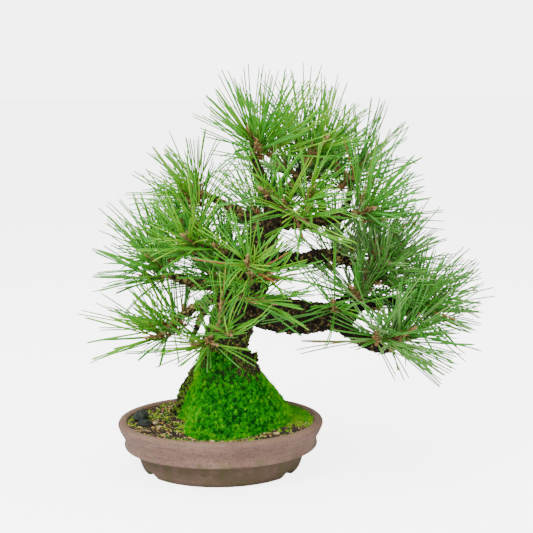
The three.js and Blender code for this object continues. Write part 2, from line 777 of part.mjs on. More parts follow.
function place(group, name, geometry, finish) {
  const mesh = new THREE.Mesh(geometry, finish);
  mesh.name = name;
  group.add(mesh);
}

const traced = traceLimbs();
const trunkCutter = makeTrunk(GAP + 0.1);
place(pottedSoil, "pot", makePot(), FINISH.pot);
place(pottedSoil, "soil", makeSoil(), FINISH.soil);
place(tree, "trunk", geometryFrom(makeTrunk(0)), FINISH.bark);
place(pottedSoil, "moss_mound", makeMound(trunkCutter), FINISH.moss);
place(pottedSoil, "stone", makeStone(), FINISH.stone);

for (const limb of LIMBS) {
  const parent = limb.parent === "trunk" ? trunkCutter : makeLimb(limb.parent, traced, GAP + 0.1);
  const solid = makeLimb(limb.name, traced, 0).subtract(parent);
  place(tree, limb.name, geometryFrom(largestBody(solid)), FINISH.bark);
}

const grown = new Map(MASSES.map((mass) => [mass.name, growTwigs(mass, traced)]));
const stations = limbStations(traced);
const sites = [...grown.values()]
  .flat()
  .flatMap((twig) => [twig.curve.getPoint(0.6), coreMiddle(twig)].map((place) => ({ twig, place })));
for (const mass of MASSES) {
  place(tree, mass.name, makeMass(mass, grown.get(mass.name), sites, stations), FINISH.needles);
}

export default bonsai;
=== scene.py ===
"""Looks of a Japanese black pine bonsai in a round clay pot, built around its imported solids.

Sizes are millimetres from the middle of the pot, with the table at height 0 and the front towards -Y.
They become metres in the frame of the solids when a mesh is made.
"""

from __future__ import annotations

import json
import logging
import math
from dataclasses import dataclass, field
from enum import Enum
from typing import Callable, Sequence

import bmesh
import bpy
import numpy as np
from bpy.types import ID, Material, Node, NodeSocket, NodeTree, Object
from mathutils import Matrix, Vector, kdtree, noise
from numpy.random import Generator

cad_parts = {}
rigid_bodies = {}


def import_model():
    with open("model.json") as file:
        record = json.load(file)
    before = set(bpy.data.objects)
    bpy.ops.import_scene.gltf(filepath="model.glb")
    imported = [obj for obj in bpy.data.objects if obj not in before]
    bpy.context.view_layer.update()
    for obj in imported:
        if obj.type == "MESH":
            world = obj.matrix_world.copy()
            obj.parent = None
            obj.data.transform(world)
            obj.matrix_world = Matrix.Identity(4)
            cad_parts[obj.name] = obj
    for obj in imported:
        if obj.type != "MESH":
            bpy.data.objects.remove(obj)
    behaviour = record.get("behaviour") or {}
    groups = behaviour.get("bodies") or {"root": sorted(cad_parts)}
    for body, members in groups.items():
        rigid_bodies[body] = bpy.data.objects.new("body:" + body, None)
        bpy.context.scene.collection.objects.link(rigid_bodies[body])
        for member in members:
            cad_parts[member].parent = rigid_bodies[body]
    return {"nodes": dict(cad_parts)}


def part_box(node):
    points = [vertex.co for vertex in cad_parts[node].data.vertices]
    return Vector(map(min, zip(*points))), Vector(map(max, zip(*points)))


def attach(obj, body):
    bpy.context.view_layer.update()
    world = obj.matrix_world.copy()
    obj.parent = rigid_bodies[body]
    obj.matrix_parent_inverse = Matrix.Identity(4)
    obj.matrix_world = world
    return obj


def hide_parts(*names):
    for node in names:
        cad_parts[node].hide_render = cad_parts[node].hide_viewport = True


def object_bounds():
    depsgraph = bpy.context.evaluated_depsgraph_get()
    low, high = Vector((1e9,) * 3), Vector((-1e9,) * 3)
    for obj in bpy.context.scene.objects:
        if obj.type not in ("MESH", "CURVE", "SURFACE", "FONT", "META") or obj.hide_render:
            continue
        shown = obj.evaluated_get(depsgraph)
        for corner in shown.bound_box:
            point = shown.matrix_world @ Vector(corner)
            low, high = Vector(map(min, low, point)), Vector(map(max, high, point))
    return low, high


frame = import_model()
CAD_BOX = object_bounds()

LOG = logging.getLogger("bonsai")
MM = 0.001
BODY = "root"
GOLDEN_ANGLE = math.pi * (3 - math.sqrt(5))
POT_LOW, POT_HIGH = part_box("pot")
POT_MIDDLE = np.array([(POT_LOW.x + POT_HIGH.x) / 2, (POT_LOW.y + POT_HIGH.y) / 2, 0.0])

WHITE = (1.0, 1.0, 1.0, 1.0)
PATCH_BIAS = "patch_bias"
NO_LIMIT = 9.0
LIMB_SEED = 100
SHOOT_SEED = 1000

Array = np.ndarray
Triple = tuple[float, float, float]
Pair = tuple[float, float]


def to_frame(places: Array) -> Array:
    """Turns millimetres from the middle of the pot into metres in the frame."""
    return np.asarray(places, float) * MM + POT_MIDDLE


def unit(vectors: Array) -> Array:
    """Scales one vector, or each row of vectors, to length 1."""
    return vectors / np.maximum(np.linalg.norm(vectors, axis=-1, keepdims=True), 1e-9)


def blend(low: float, high: float, share: float) -> float:
    """Goes from low to high as the share goes from 0 to 1."""
    return low + (high - low) * share


def linear(code: str) -> tuple[float, float, float, float]:
    """Turns a web colour such as #8f7068 into the linear colour that shaders use.

    Args:
        code: a hash sign and six hexadecimal digits.

    Returns:
        Red, green, blue and an alpha of 1.
    """
    shares = [int(code[i : i + 2], 16) / 255 for i in (1, 3, 5)]
    lit = [s / 12.92 if s <= 0.04045 else ((s + 0.055) / 1.055) ** 2.4 for s in shares]
    return (lit[0], lit[1], lit[2], 1.0)


class SeededNumbers:
    """The plant's own numbers from 0 to 1, which repeat for one seed."""

    def __init__(self, seed: int) -> None:
        """Starts the numbers of one seed."""
        self.state = (seed * 747796405 + 2891336453) % 2**32

    def draw(self) -> float:
        """Gives the next number."""
        self.state = (self.state * 1664525 + 1013904223) % 2**32
        return (self.state >> 8) / 2**24


class SmoothLine:
    """A smooth line through its places, which it passes evenly in share."""

    def __init__(self, places: Sequence[Array]) -> None:
        """Keeps the places, with one more beyond each end.

        Args:
            places: at least two places.
        """
        inner = [np.asarray(p, float) for p in places]
        before = 2 * inner[0] - inner[1]
        after = 2 * inner[-1] - inner[-2]
        self.places = [before, *inner, after]
        self.spans = len(inner) - 1

    def point(self, share: float) -> Array:
        """Gives the place at a share of the line.

        Args:
            share: how far along it, from 0 to 1.

        Returns:
            The place.
        """
        at = min(max(share, 0.0), 1.0) * self.spans
        span = min(int(at), self.spans - 1)
        w = at - span
        a, b, c, d = self.places[span : span + 4]
        out, home = 0.5 * (c - a), 0.5 * (d - b)
        square = -3 * b + 3 * c - 2 * out - home
        cube = 2 * b - 2 * c + out + home
        return b + out * w + square * w**2 + cube * w**3

    def tangent(self, share: float) -> Array:
        """Gives the direction of the line at a share of it."""
        low, high = max(0.0, share - 1e-4), min(1.0, share + 1e-4)
        return unit(self.point(high) - self.point(low))

    def length(self) -> float:
        """Measures the line."""
        points = np.array([self.point(s) for s in np.linspace(0, 1, 60)])
        return float(np.linalg.norm(np.diff(points, axis=0), axis=1).sum())


class BentLine(SmoothLine):
    """A line with one bend: it leaves its start towards the elbow and reaches its end from there."""

    def __init__(self, start: Array, elbow: Array, end: Array) -> None:
        """Keeps the three places that shape the line."""
        self.start, self.elbow, self.end = start, elbow, end

    def point(self, share: float) -> Array:
        """Gives the place at a share of the line."""
        rest = 1 - share
        return rest * rest * self.start + 2 * share * rest * self.elbow + share * share * self.end


def side_frame(tangent: Array, before: Array | None = None) -> tuple[Array, Array]:
    """Gives two directions square to a tangent.

    Args:
        tangent: the direction of the line.
        before: the side direction of the ring before this one, if there is one.

    Returns:
        The side direction, carried on, and the direction square to it and to the tangent.
    """
    if before is None:
        before = np.array([1.0, 0, 0]) if abs(tangent[2]) > 0.9 else np.array([0, 0, 1.0])
    across = unit(before - before.dot(tangent) * tangent)
    return across, np.cross(tangent, across)


def placed(name: str, data: ID) -> Object:
    """Puts a new object into the scene.

    Args:
        name: its name.
        data: the mesh, camera or light that it shows.

    Returns:
        The object.
    """
    thing = bpy.data.objects.new(name, data)
    bpy.context.scene.collection.objects.link(thing)
    return thing


@dataclass
class Shape:
    """Corners in millimetres, and faces as arrays of corner numbers, one array for each face size."""

    corners: Array
    faces: list[Array]

    @staticmethod
    def joined(shapes: Sequence[Shape]) -> Shape:
        """Puts several shapes into one, without merging their corners.

        Args:
            shapes: the shapes, at least one.

        Returns:
            One shape that holds them all.
        """
        corners, faces, first = [], [], 0
        for shape in shapes:
            corners.append(shape.corners)
            faces.extend(face + first for face in shape.faces)
            first += len(shape.corners)
        return Shape(np.concatenate(corners), faces)

    def to_object(self, name: str, smooth: bool = True) -> Object:
        """Makes a mesh object in the frame.

        Args:
            name: the piece's name.
            smooth: whether its faces are shaded smoothly.

        Returns:
            The new object, with its place in its mesh.
        """
        mesh = bpy.data.meshes.new(name)
        mesh.vertices.add(len(self.corners))
        mesh.vertices.foreach_set("co", to_frame(self.corners).ravel())
        loops = np.concatenate([face.ravel() for face in self.faces])
        sizes = np.concatenate([np.full(len(face), face.shape[1]) for face in self.faces])
        mesh.loops.add(len(loops))
        mesh.loops.foreach_set("vertex_index", loops.astype(np.int32))
        mesh.polygons.add(len(sizes))
        starts = np.concatenate([[0], np.cumsum(sizes)[:-1]])
        mesh.polygons.foreach_set("loop_start", starts.astype(np.int32))
        mesh.update(calc_edges=True)
        if smooth:
            mesh.shade_smooth()
        return placed(name, mesh)


def loft(rings: Sequence[Array], noses: tuple[Array, Array] | None = None) -> Shape:
    """Closes a skin over rings of equally many corners, with a fan at each end.

    Args:
        rings: the rings, each turning to the left seen from the end that the line goes to.
        noses: the middle of the first and of the last fan, or nothing for flat ends.

    Returns:
        The closed shape, facing outwards.
    """
    side_wall = skin(rings)
    count, sides = len(rings), len(rings[0])
    first, last = noses if noses else (rings[0].mean(0), rings[-1].mean(0))
    corners = np.concatenate([side_wall.corners, [first, last]])
    side = np.arange(sides)
    after = (side + 1) % sides
    start, end, top = count * sides, count * sides + 1, (count - 1) * sides
    near = np.stack([np.full(sides, start), after, side], -1)
    far = np.stack([np.full(sides, end), top + side, top + after], -1)
    return Shape(corners, [*side_wall.faces, np.concatenate([near, far])])


def skin(rings: Sequence[Array]) -> Shape:
    """Spans an open skin over rings of equally many corners.

    Args:
        rings: the rings.

    Returns:
        The open skin.
    """
    grid = np.array(rings)
    count, sides = grid.shape[:2]
    side = np.arange(sides)
    after = (side + 1) % sides
    base = (np.arange(count - 1) * sides)[:, None]
    quads = np.stack([base + side, base + after, base + sides + after, base + sides + side], -1)
    return Shape(grid.reshape(-1, 3), [quads.reshape(-1, 4)])


def round_angles(count: int) -> Array:
    """Gives equal turns round a circle, in radians."""
    return 2 * math.pi * np.arange(count) / count


def turn_from(centre: float, degrees: float | Array) -> float | Array:
    """Gives the turn from one direction to another, from -180 to 180 degrees."""
    return (degrees - centre + 180) % 360 - 180


def spokes(angles: Array, across: Array, upward: Array) -> Array:
    """Gives the directions at some angles round a line, from its two side directions."""
    return np.outer(np.cos(angles), across) + np.outer(np.sin(angles), upward)


def rings_along(
    line: SmoothLine, shares: Sequence[float], sides: int, radius_at: Callable[[float], float]
) -> list[Array]:
    """Sets rings of corners round a line.

    Args:
        line: the middle line.
        shares: where on the line each ring lies.
        sides: corners in a ring.
        radius_at: the radius at a share of the line.

    Returns:
        The rings, in order.
    """
    angles = round_angles(sides)
    across = None
    rings = []
    for share in shares:
        across, upward = side_frame(line.tangent(share), across)
        rings.append(line.point(share) + radius_at(share) * spokes(angles, across, upward))
    return rings


def dressed(piece: Object, material: Material, slot: str, *nodes: str) -> Object:
    """Gives a finished piece its material and its body, and hides the solids that it stands for.

    Args:
        piece: the finished mesh object.
        material: its material.
        slot: the record's slot that it takes its finish from; not used.
        nodes: the solids that it replaces.

    Returns:
        The same object.
    """
    piece.data.materials.clear()
    piece.data.materials.append(material)
    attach(piece, BODY)
    if nodes:
        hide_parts(*nodes)
    count = sum(len(face.vertices) - 2 for face in piece.data.polygons)
    LOG.info("%s: %d triangles", piece.name, count)
    return piece


def made_plain(piece: Object) -> Object:
    """Turns what the modifiers show into the piece's own mesh, and removes them.

    Args:
        piece: the piece with its modifiers.

    Returns:
        The same object.
    """
    graph = bpy.context.evaluated_depsgraph_get()
    mesh = bpy.data.meshes.new_from_object(piece.evaluated_get(graph), depsgraph=graph)
    piece.modifiers.clear()
    piece.data = mesh
    mesh.name = piece.name
    return piece


def grown(piece: Object, tree: NodeTree, given: dict) -> Object:
    """Runs a tree of Geometry Nodes on a piece.

    Args:
        piece: the piece, whose mesh the tree takes.
        tree: the tree.
        given: values for the tree's inputs, by name.

    Returns:
        The same object, with what the tree gives as its plain mesh.
    """
    modifier = piece.modifiers.new(tree.name, "NODES")
    modifier.node_group = tree
    for item in tree.interface.items_tree:
        if item.in_out == "INPUT" and item.name in given:
            modifier[item.identifier] = given[item.name]
    return made_plain(piece)


def corner_places(piece: Object) -> Array:
    """Reads the corners of a piece, in metres in the frame."""
    return np.array([corner.co for corner in piece.data.vertices], np.float32)


def note(piece: Object, name: str, values: Array) -> None:
    """Stores a number on each corner of a piece."""
    store = piece.data.attributes.get(name) or piece.data.attributes.new(name, "FLOAT", "POINT")
    store.data.foreach_set("value", values.astype(np.float32))


def note_bias(piece: Object, rule: Callable[[Array], Array]) -> None:
    """Stores on each corner how much a patch is favoured there.

    Args:
        piece: the surface.
        rule: gives the bias for an array of places in millimetres from the pot's middle.
    """
    note(piece, PATCH_BIAS, rule((corner_places(piece) - POT_MIDDLE) / MM))


def forget_bias(piece: Object) -> None:
    """Takes the bias off a piece again."""
    piece.data.attributes.remove(piece.data.attributes[PATCH_BIAS])


class Signal:
    """An output socket of a node, with arithmetic that adds Math nodes."""

    def __init__(self, kit: NodeKit, socket: NodeSocket) -> None:
        self.kit = kit
        self.socket = socket

    def __add__(self, other: Signal | float) -> Signal:
        """Adds."""
        return self.kit.math("ADD", self, other)

    def __radd__(self, other: float) -> Signal:
        """Adds to a number."""
        return self.kit.math("ADD", other, self)

    def __sub__(self, other: Signal | float) -> Signal:
        """Subtracts."""
        return self.kit.math("SUBTRACT", self, other)

    def __rsub__(self, other: float) -> Signal:
        """Subtracts from a number."""
        return self.kit.math("SUBTRACT", other, self)

    def __mul__(self, other: Signal | float) -> Signal:
        """Multiplies."""
        return self.kit.math("MULTIPLY", self, other)

    def __rmul__(self, other: float) -> Signal:
        """Multiplies a number."""
        return self.kit.math("MULTIPLY", other, self)

    def step(self, low: float, high: float) -> Signal:
        """Goes smoothly from 0 at the low value to 1 at the high one, which may be the smaller.

        Args:
            low: where it is 0.
            high: where it is 1.

        Returns:
            The new signal.
        """
        settings = {"interpolation_type": "SMOOTHSTEP"}
        if low <= high:
            return self.kit.out("ShaderNodeMapRange", settings, {0: self, 1: low, 2: high}, "Result")
        ends = {0: self, 1: high, 2: low, 3: 1.0, 4: 0.0}
        return self.kit.out("ShaderNodeMapRange", settings, ends, "Result")


class NodeKit:
    """Adds nodes to one tree and links them."""

    def __init__(self, tree: NodeTree) -> None:
        """Starts on an empty tree."""
        self.tree = tree
        tree.nodes.clear()

    def node(self, kind: str, settings: dict | None = None, sockets: dict | None = None) -> Node:
        """Adds one node.

        Args:
            kind: the node's type.
            settings: its properties, set first.
            sockets: values or signals for its inputs, by name or number.

        Returns:
            The node.
        """
        node = self.tree.nodes.new(kind)
        for name, value in (settings or {}).items():
            setattr(node, name, value)
        for key, value in (sockets or {}).items():
            if isinstance(value, Signal):
                self.tree.links.new(value.socket, node.inputs[key])
            else:
                node.inputs[key].default_value = value
        return node

    def out(
        self, kind: str, settings: dict | None = None, sockets: dict | None = None, output: str | int = 0
    ) -> Signal:
        """Adds one node and gives one of its outputs."""
        return Signal(self, self.node(kind, settings, sockets).outputs[output])

    def math(self, operation: str, first: Signal | float, second: Signal | float) -> Signal:
        """Adds a Math node."""
        return self.out("ShaderNodeMath", {"operation": operation}, {0: first, 1: second})

    def vector_math(self, operation: str, first: Signal | Triple, second: Signal | Triple) -> Signal:
        """Adds a Vector Math node."""
        return self.out("ShaderNodeVectorMath", {"operation": operation}, {0: first, 1: second})

    def scaled(self, vector: Signal, factor: Signal | float) -> Signal:
        """Scales a vector by a number."""
        return self.out("ShaderNodeVectorMath", {"operation": "SCALE"}, {0: vector, "Scale": factor})

    def mix(self, share: Signal | float, first: Signal | str, second: Signal | str) -> Signal:
        """Mixes two colours, each a signal or a web colour."""
        first, second = (linear(c) if isinstance(c, str) else c for c in (first, second))
        return self.out("ShaderNodeMix", {"data_type": "RGBA"}, {0: share, 6: first, 7: second}, 2)

    def layered(self, colour: Signal | str, *layers: tuple[Signal, str]) -> Signal:
        """Lays colours over the first one, each by its own share.

        Args:
            colour: the first colour.
            layers: the share and the colour of each layer.

        Returns:
            The colour of them all.
        """
        for share, tone in layers:
            colour = self.mix(share, colour, tone)
        return colour

    def noise(self, place: Signal, size: float, detail: float = 3.0, rough: float = 0.55) -> Signal:
        """Gives soft noise whose lumps are about size millimetres across."""
        sockets = {"Vector": place, "Scale": 1 / (size * MM), "Detail": detail, "Roughness": rough}
        return self.out("ShaderNodeTexNoise", {}, sockets)

    def inputs(self, kinds: dict[str, str]) -> dict[str, Signal]:
        """Gives the tree of a modifier its inputs, and its one output.

        Args:
            kinds: the kind of each input but the mesh, such as Float, by its name.

        Returns:
            The inputs by name, with the mesh as Geometry.
        """
        kinds = {"Geometry": "Geometry", **kinds}
        add = self.tree.interface.new_socket
        for name, kind in kinds.items():
            add(name, in_out="INPUT", socket_type="NodeSocket" + kind)
        add("Geometry", in_out="OUTPUT", socket_type="NodeSocketGeometry")
        given = self.node("NodeGroupInput")
        return {name: Signal(self, given.outputs[order]) for order, name in enumerate(kinds)}

    def cells(
        self, place: Signal, scale: Signal | float, output: str = "Distance", feature: str = "F1"
    ) -> Signal:
        """Gives one reading of irregular cells, scale of them to the metre."""
        sockets = {"Vector": place, "Scale": scale}
        return self.out("ShaderNodeTexVoronoi", {"feature": feature}, sockets, output)

    def noted(self, name: str) -> Signal:
        """Reads a number that is stored on each corner."""
        return self.out("GeometryNodeInputNamedAttribute", {"data_type": "FLOAT"}, {"Name": name})

    def dots(self, place: Signal, size: float) -> Signal:
        """Gives the distance to the middle of the nearest cell of about size millimetres."""
        return self.cells(place, 1 / (size * MM))

    def tones(self, place: Signal, size: float) -> Signal:
        """Gives each cell of about size millimetres a number of its own."""
        return self.out("ShaderNodeSeparateColor", {}, {0: self.cells(place, 1 / (size * MM), "Color")})

    def feed(self, shader: Node, socket: str, signal: Signal) -> None:
        """Links a signal to a socket of a shader."""
        self.tree.links.new(signal.socket, shader.inputs[socket])

    def bump(self, shader: Node, height: Signal, depth: float) -> None:
        """Adds relief to a shader, depth millimetres deep."""
        sockets = {"Height": height, "Distance": depth * MM, "Strength": 1.0}
        self.feed(shader, "Normal", self.out("ShaderNodeBump", {}, sockets))

    def part(self, vector: Signal, axis: int) -> Signal:
        """Gives one of the three parts of a vector."""
        return self.out("ShaderNodeSeparateXYZ", {}, {0: vector}, axis)

    def height(self, place: Signal) -> Signal:
        """Gives the height of a place in millimetres."""
        return self.part(place, 2) * (1 / MM)


@dataclass(frozen=True)
class Finish:
    """A finish with one base colour and one roughness, and what all finishes share."""

    name: str
    colour: str
    roughness: float = 0.8
    gloss: float = 0.5

    def material(self) -> Material:
        """Makes the material.

        Returns:
            The new material.
        """
        material = bpy.data.materials.new(self.name)
        material.use_nodes = True
        kit = NodeKit(material.node_tree)
        place = kit.out("ShaderNodeTexCoord", output="Object")
        look = {
            "Base Color": linear(self.colour),
            "Roughness": self.roughness,
            "Specular IOR Level": self.gloss,
        }
        shader = kit.node("ShaderNodeBsdfPrincipled", {}, look)
        self.detail(kit, place, shader)
        kit.node("ShaderNodeOutputMaterial", {}, {"Surface": Signal(kit, shader.outputs[0])})
        return material

    def detail(self, kit: NodeKit, place: Signal, shader: Node) -> None:
        """Adds what changes over the surface.

        Args:
            kit: the material's nodes.
            place: Object coordinates, in metres.
            shader: the Principled shader.
        """


@dataclass(frozen=True)
class ClayFinish(Finish):
    """Unglazed clay with throwing lines, mineral bloom, algae on its foot, and painted shade mixed with
    algae in its creases.
    """

    pale: str = "#84675b"
    dark: str = "#4e3730"
    foot: str = "#574732"
    algae_and_shade: str = "#4f5620"
    rim: str = "#7d6347"
    band_height: float = 24.1
    neck_height: float = 32.3

    def detail(self, kit: NodeKit, place: Signal, shader: Node) -> None:
        """Adds blotches, lines, stains, grain, and painted shade with algae in the creases."""
        height = kit.height(place)
        flat = kit.out("ShaderNodeMapping", {}, {"Vector": place, "Scale": (1.0, 1.0, 11.0)})
        streaks = kit.noise(flat, 26.0, 5.0, 0.6)
        blotches = kit.noise(place, 34.0, 4.0, 0.6)
        grain = kit.noise(place, 2.2, 3.0, 0.75)
        stain = kit.noise(place, 15.0, 4.0, 0.65)
        low = height.step(self.band_height + 1.5, self.band_height - 1.5)
        # Dark olive in the groove above the band and in the waist under the rim: partly algae, partly
        # painted shade in these creases.
        under = height.step(self.band_height - 1, self.band_height + 4) * height.step(34, 26)
        neck = height.step(self.neck_height - 4, self.neck_height) * height.step(38, 34)
        base = height.step(9, 1)
        green = (under + neck * 0.5 + base * 0.9 + low * 0.35) * stain.step(0.46, 0.66)
        top = height.step(46.5, 50.5) * (0.4 + 0.6 * stain.step(0.4, 0.6))
        # A patchy dark olive line just under the band's overhang: partly algae, partly painted shade.
        line = height.step(self.band_height - 2.5, self.band_height) * low * stain.step(0.36, 0.5)
        specks = kit.dots(place, 5.5).step(0.16, 0.08) * 0.8 * stain.step(0.45, 0.6)
        colour = kit.layered(
            self.colour,
            (blotches.step(0.35, 0.68), self.pale),
            (streaks.step(0.46, 0.72) * 0.65, self.dark),
            (grain.step(0.52, 0.7) * 0.7, self.pale),
            (grain.step(0.48, 0.32) * 0.7, self.dark),
            (low * (0.55 + 0.45 * stain.step(0.35, 0.6)), self.foot),
            (green * 0.62, self.algae_and_shade),
            (top * 0.55, self.rim),
            (line * 0.8, self.algae_and_shade),
            (specks, self.dark),
        )
        kit.feed(shader, "Base Color", colour)
        kit.feed(shader, "Roughness", 0.72 + 0.2 * blotches)
        lines = kit.out("ShaderNodeMapping", {}, {"Vector": place, "Scale": (0.08, 0.08, 1.0)})
        thrown = kit.noise(lines, 1.6, 3.0, 0.6)
        kit.bump(shader, grain * 0.5 + thrown * 0.7 + streaks * 0.3, 0.5)


@dataclass(frozen=True)
class SoilFinish(Finish):
    """Dark damp soil between the grains."""

    light: str = "#5a4432"

    def detail(self, kit: NodeKit, place: Signal, shader: Node) -> None:
        """Adds crumbs."""
        crumbs = kit.dots(place, 2.6)
        tone = kit.noise(place, 5.0, 3.0, 0.7)
        colour = kit.mix(tone.step(0.4, 0.7) * 0.7, self.colour, self.light)
        kit.feed(shader, "Base Color", colour)
        kit.bump(shader, 1 - crumbs, 1.2)


@dataclass(frozen=True)
class StoneFinish(Finish):
    """A weathered stone or chip, mottled with a second colour."""

    mottle: str = "#59604f"
    size: float = 4.0

    def detail(self, kit: NodeKit, place: Signal, shader: Node) -> None:
        """Adds mottling and a fine grain."""
        tone = kit.noise(place, self.size, 4.0, 0.65)
        fine = kit.noise(place, self.size / 5, 2.0, 0.6)
        colour = kit.mix(tone.step(0.42, 0.66), self.colour, self.mottle)
        kit.feed(shader, "Base Color", colour)
        kit.bump(shader, tone + fine * 0.5, 0.5)


@dataclass(frozen=True)
class BarkFinish(Finish):
    """Near-black flaky bark with brown and grey plates, pale flecks, lichen, and moss by the ground."""

    crack: str = "#080604"
    brown: str = "#3a2d17"
    grey: str = "#544a30"
    lichen: str = "#77693c"
    tan: str = "#75602f"
    fleck: str = "#b9ab84"
    moss: str = "#4c7a1a"
    crust: str = "#a39254"
    olive: str = "#978a4e"
    lichen_place: Triple = (128, 14, 218)

    def detail(self, kit: NodeKit, place: Signal, shader: Node) -> None:
        """Adds plates, cracks, flecks, lichen with painted light on upward faces, and the green at the foot.
        """
        crack = kit.out("ShaderNodeAttribute", {"attribute_name": "crack"}, {}, "Fac")
        upward = kit.part(kit.out("ShaderNodeNewGeometry", output="Normal"), 2)
        height = kit.height(place)
        plates, chips = kit.tones(place, 6.5), kit.tones(place, 2.4)
        crumbs = kit.noise(place, 3.2, 4.0, 0.7)
        broad = kit.noise(place, 24.0, 3.0, 0.6)
        patch = kit.noise(place, 17.0, 4.0, 0.6)
        # Upward faces: the pale lichen patches are painted strongest there, partly lichen and partly painted
        # light from above.
        lit = upward.step(-0.35, 0.6) * 0.75 + 0.25
        spots = kit.dots(place, 4.6).step(0.2, 0.11) * broad.step(0.42, 0.6)
        aside = kit.part(place, 0) * (1 / MM) - float(POT_MIDDLE[0] / MM)
        trunk = aside.step(50, 34)
        worn = height.step(210, 270) + trunk * height.step(165, 130) * 0.8
        left = (aside - height.step(200, 280) * 20).step(14, -4) * height.step(140, 160)
        green = trunk * height.step(176, 128) * kit.noise(place, 7.0, 4.0, 0.65).step(0.47, 0.6)
        centre = tuple(to_frame(self.lichen_place))
        away = kit.out("ShaderNodeVectorMath", {"operation": "DISTANCE"}, {0: place, 1: centre}, "Value")
        crust = (away * (1 / MM)).step(24, 13) * crumbs.step(0.32, 0.46)
        colour = kit.layered(
            self.colour,
            (plates.step(0.45, 0.95), self.brown),
            (crumbs.step(0.58, 0.78) * 0.75, self.grey),
            (patch.step(0.58, 0.7) * lit * 0.8, self.lichen),
            (spots * 0.8, self.fleck),
            (worn * (0.1 + crumbs.step(0.44, 0.62) * 0.65), self.tan),
            (left * crumbs.step(0.36, 0.54), self.olive),
            (green * 0.85, self.moss),
            (crust, self.crust),
            (chips.step(0.4, 0.2) * 0.75, self.crack),
            (chips.step(0.8, 0.92) * 0.45, self.crust),
            (crack.step(0.45, 0.0) * 0.85, self.crack),
        )
        kit.feed(shader, "Base Color", colour)
        fine = kit.noise(place, 1.1, 3.0, 0.65)
        kit.bump(shader, fine + crumbs * 0.8, 0.7)


@dataclass(frozen=True)
class MossFinish(Finish):
    """The cushion under the moss blades: green, with yellow-green and brown where it is thin."""

    bright: str = "#1c5206"
    thin: str = "#1c160c"
    crumb: str = "#5a4a2a"

    def detail(self, kit: NodeKit, place: Signal, shader: Node) -> None:
        """Adds patches and a tufted grain."""
        patch = kit.noise(place, 16.0, 4.0, 0.6)
        tufts = kit.dots(place, 1.7)
        upper = kit.height(place).step(84, 100)
        worn = kit.noise(place, 9.0, 4.0, 0.7).step(0.64, 0.74)
        crumbs = kit.noise(place, 3.0, 4.0, 0.7).step(0.45, 0.6)
        colour = kit.layered(
            self.colour,
            (patch.step(0.5, 0.66), self.bright),
            (worn * 0.8 + upper, self.thin),
            (upper * crumbs * 0.6, self.crumb),
        )
        kit.feed(shader, "Base Color", colour)
        kit.bump(shader, 1 - tufts, 0.9)


class NeedleShade(Enum):
    """Base colours of the needles: the living ones from the sunny front to the back, then the dead."""

    SUNLIT = "#7cb626"
    FRESH = "#5caa22"
    LEAFY = "#489c26"
    MIDDLE = "#42922a"
    SHADED = "#569338"
    BLUISH = "#79a358"
    DEAD = "#9a5632"


@dataclass(frozen=True)
class Limb:
    """A bough: where it leaves its parent, where it ends, how far its middle bows, and its radii."""

    name: str
    parent: str
    leaves_at: float
    tip: Triple
    bow: Triple
    radii: Pair
    swell: float = 0.0

    @property
    def node(self) -> str:
        """Names the solid that the bough stands for."""
        return "bough_" + self.name


@dataclass(frozen=True)
class NeedleMass:
    """A mass of needles: its limb, the tip of its leading shoot, and how many side twigs branch off.

    The fullness is its share of the usual number of needles, the lift is how much they turn up, and the
    spread is how many degrees they open from the shoot.
    """

    name: str
    limb: str
    leader: Triple
    aim: Triple
    sides: int
    seed: int
    reach: float = 1.0
    fullness: float = 1.0
    lift: float = 0.22
    spread: float = 64.0

    @property
    def node(self) -> str:
        """Names the solid that the mass stands for."""
        return "needles_" + self.name


NEEDLE_STEPS = (0.0, 0.27, 0.54, 0.8, 0.965, 1.0)
NEEDLE_SWELL = (0.85, 1.0, 1.0, 1.0, 0.8)
BUD_PROFILE = ((0, 0.7), (0.25, 1.0), (0.55, 0.85), (0.82, 0.45))
TRUNK_LINE = (
    (5, 0, 127, 23.5),
    (13, 0, 152, 22.5),
    (27, 1, 184, 20.5),
    (39, 4, 212, 18.5),
    (44, 5, 236, 16),
    (55, 1, 259, 11),
    (51, -4, 281, 7),
    (40, -9, 309, 4.2),
    (36, -10, 319, 3.4),
)

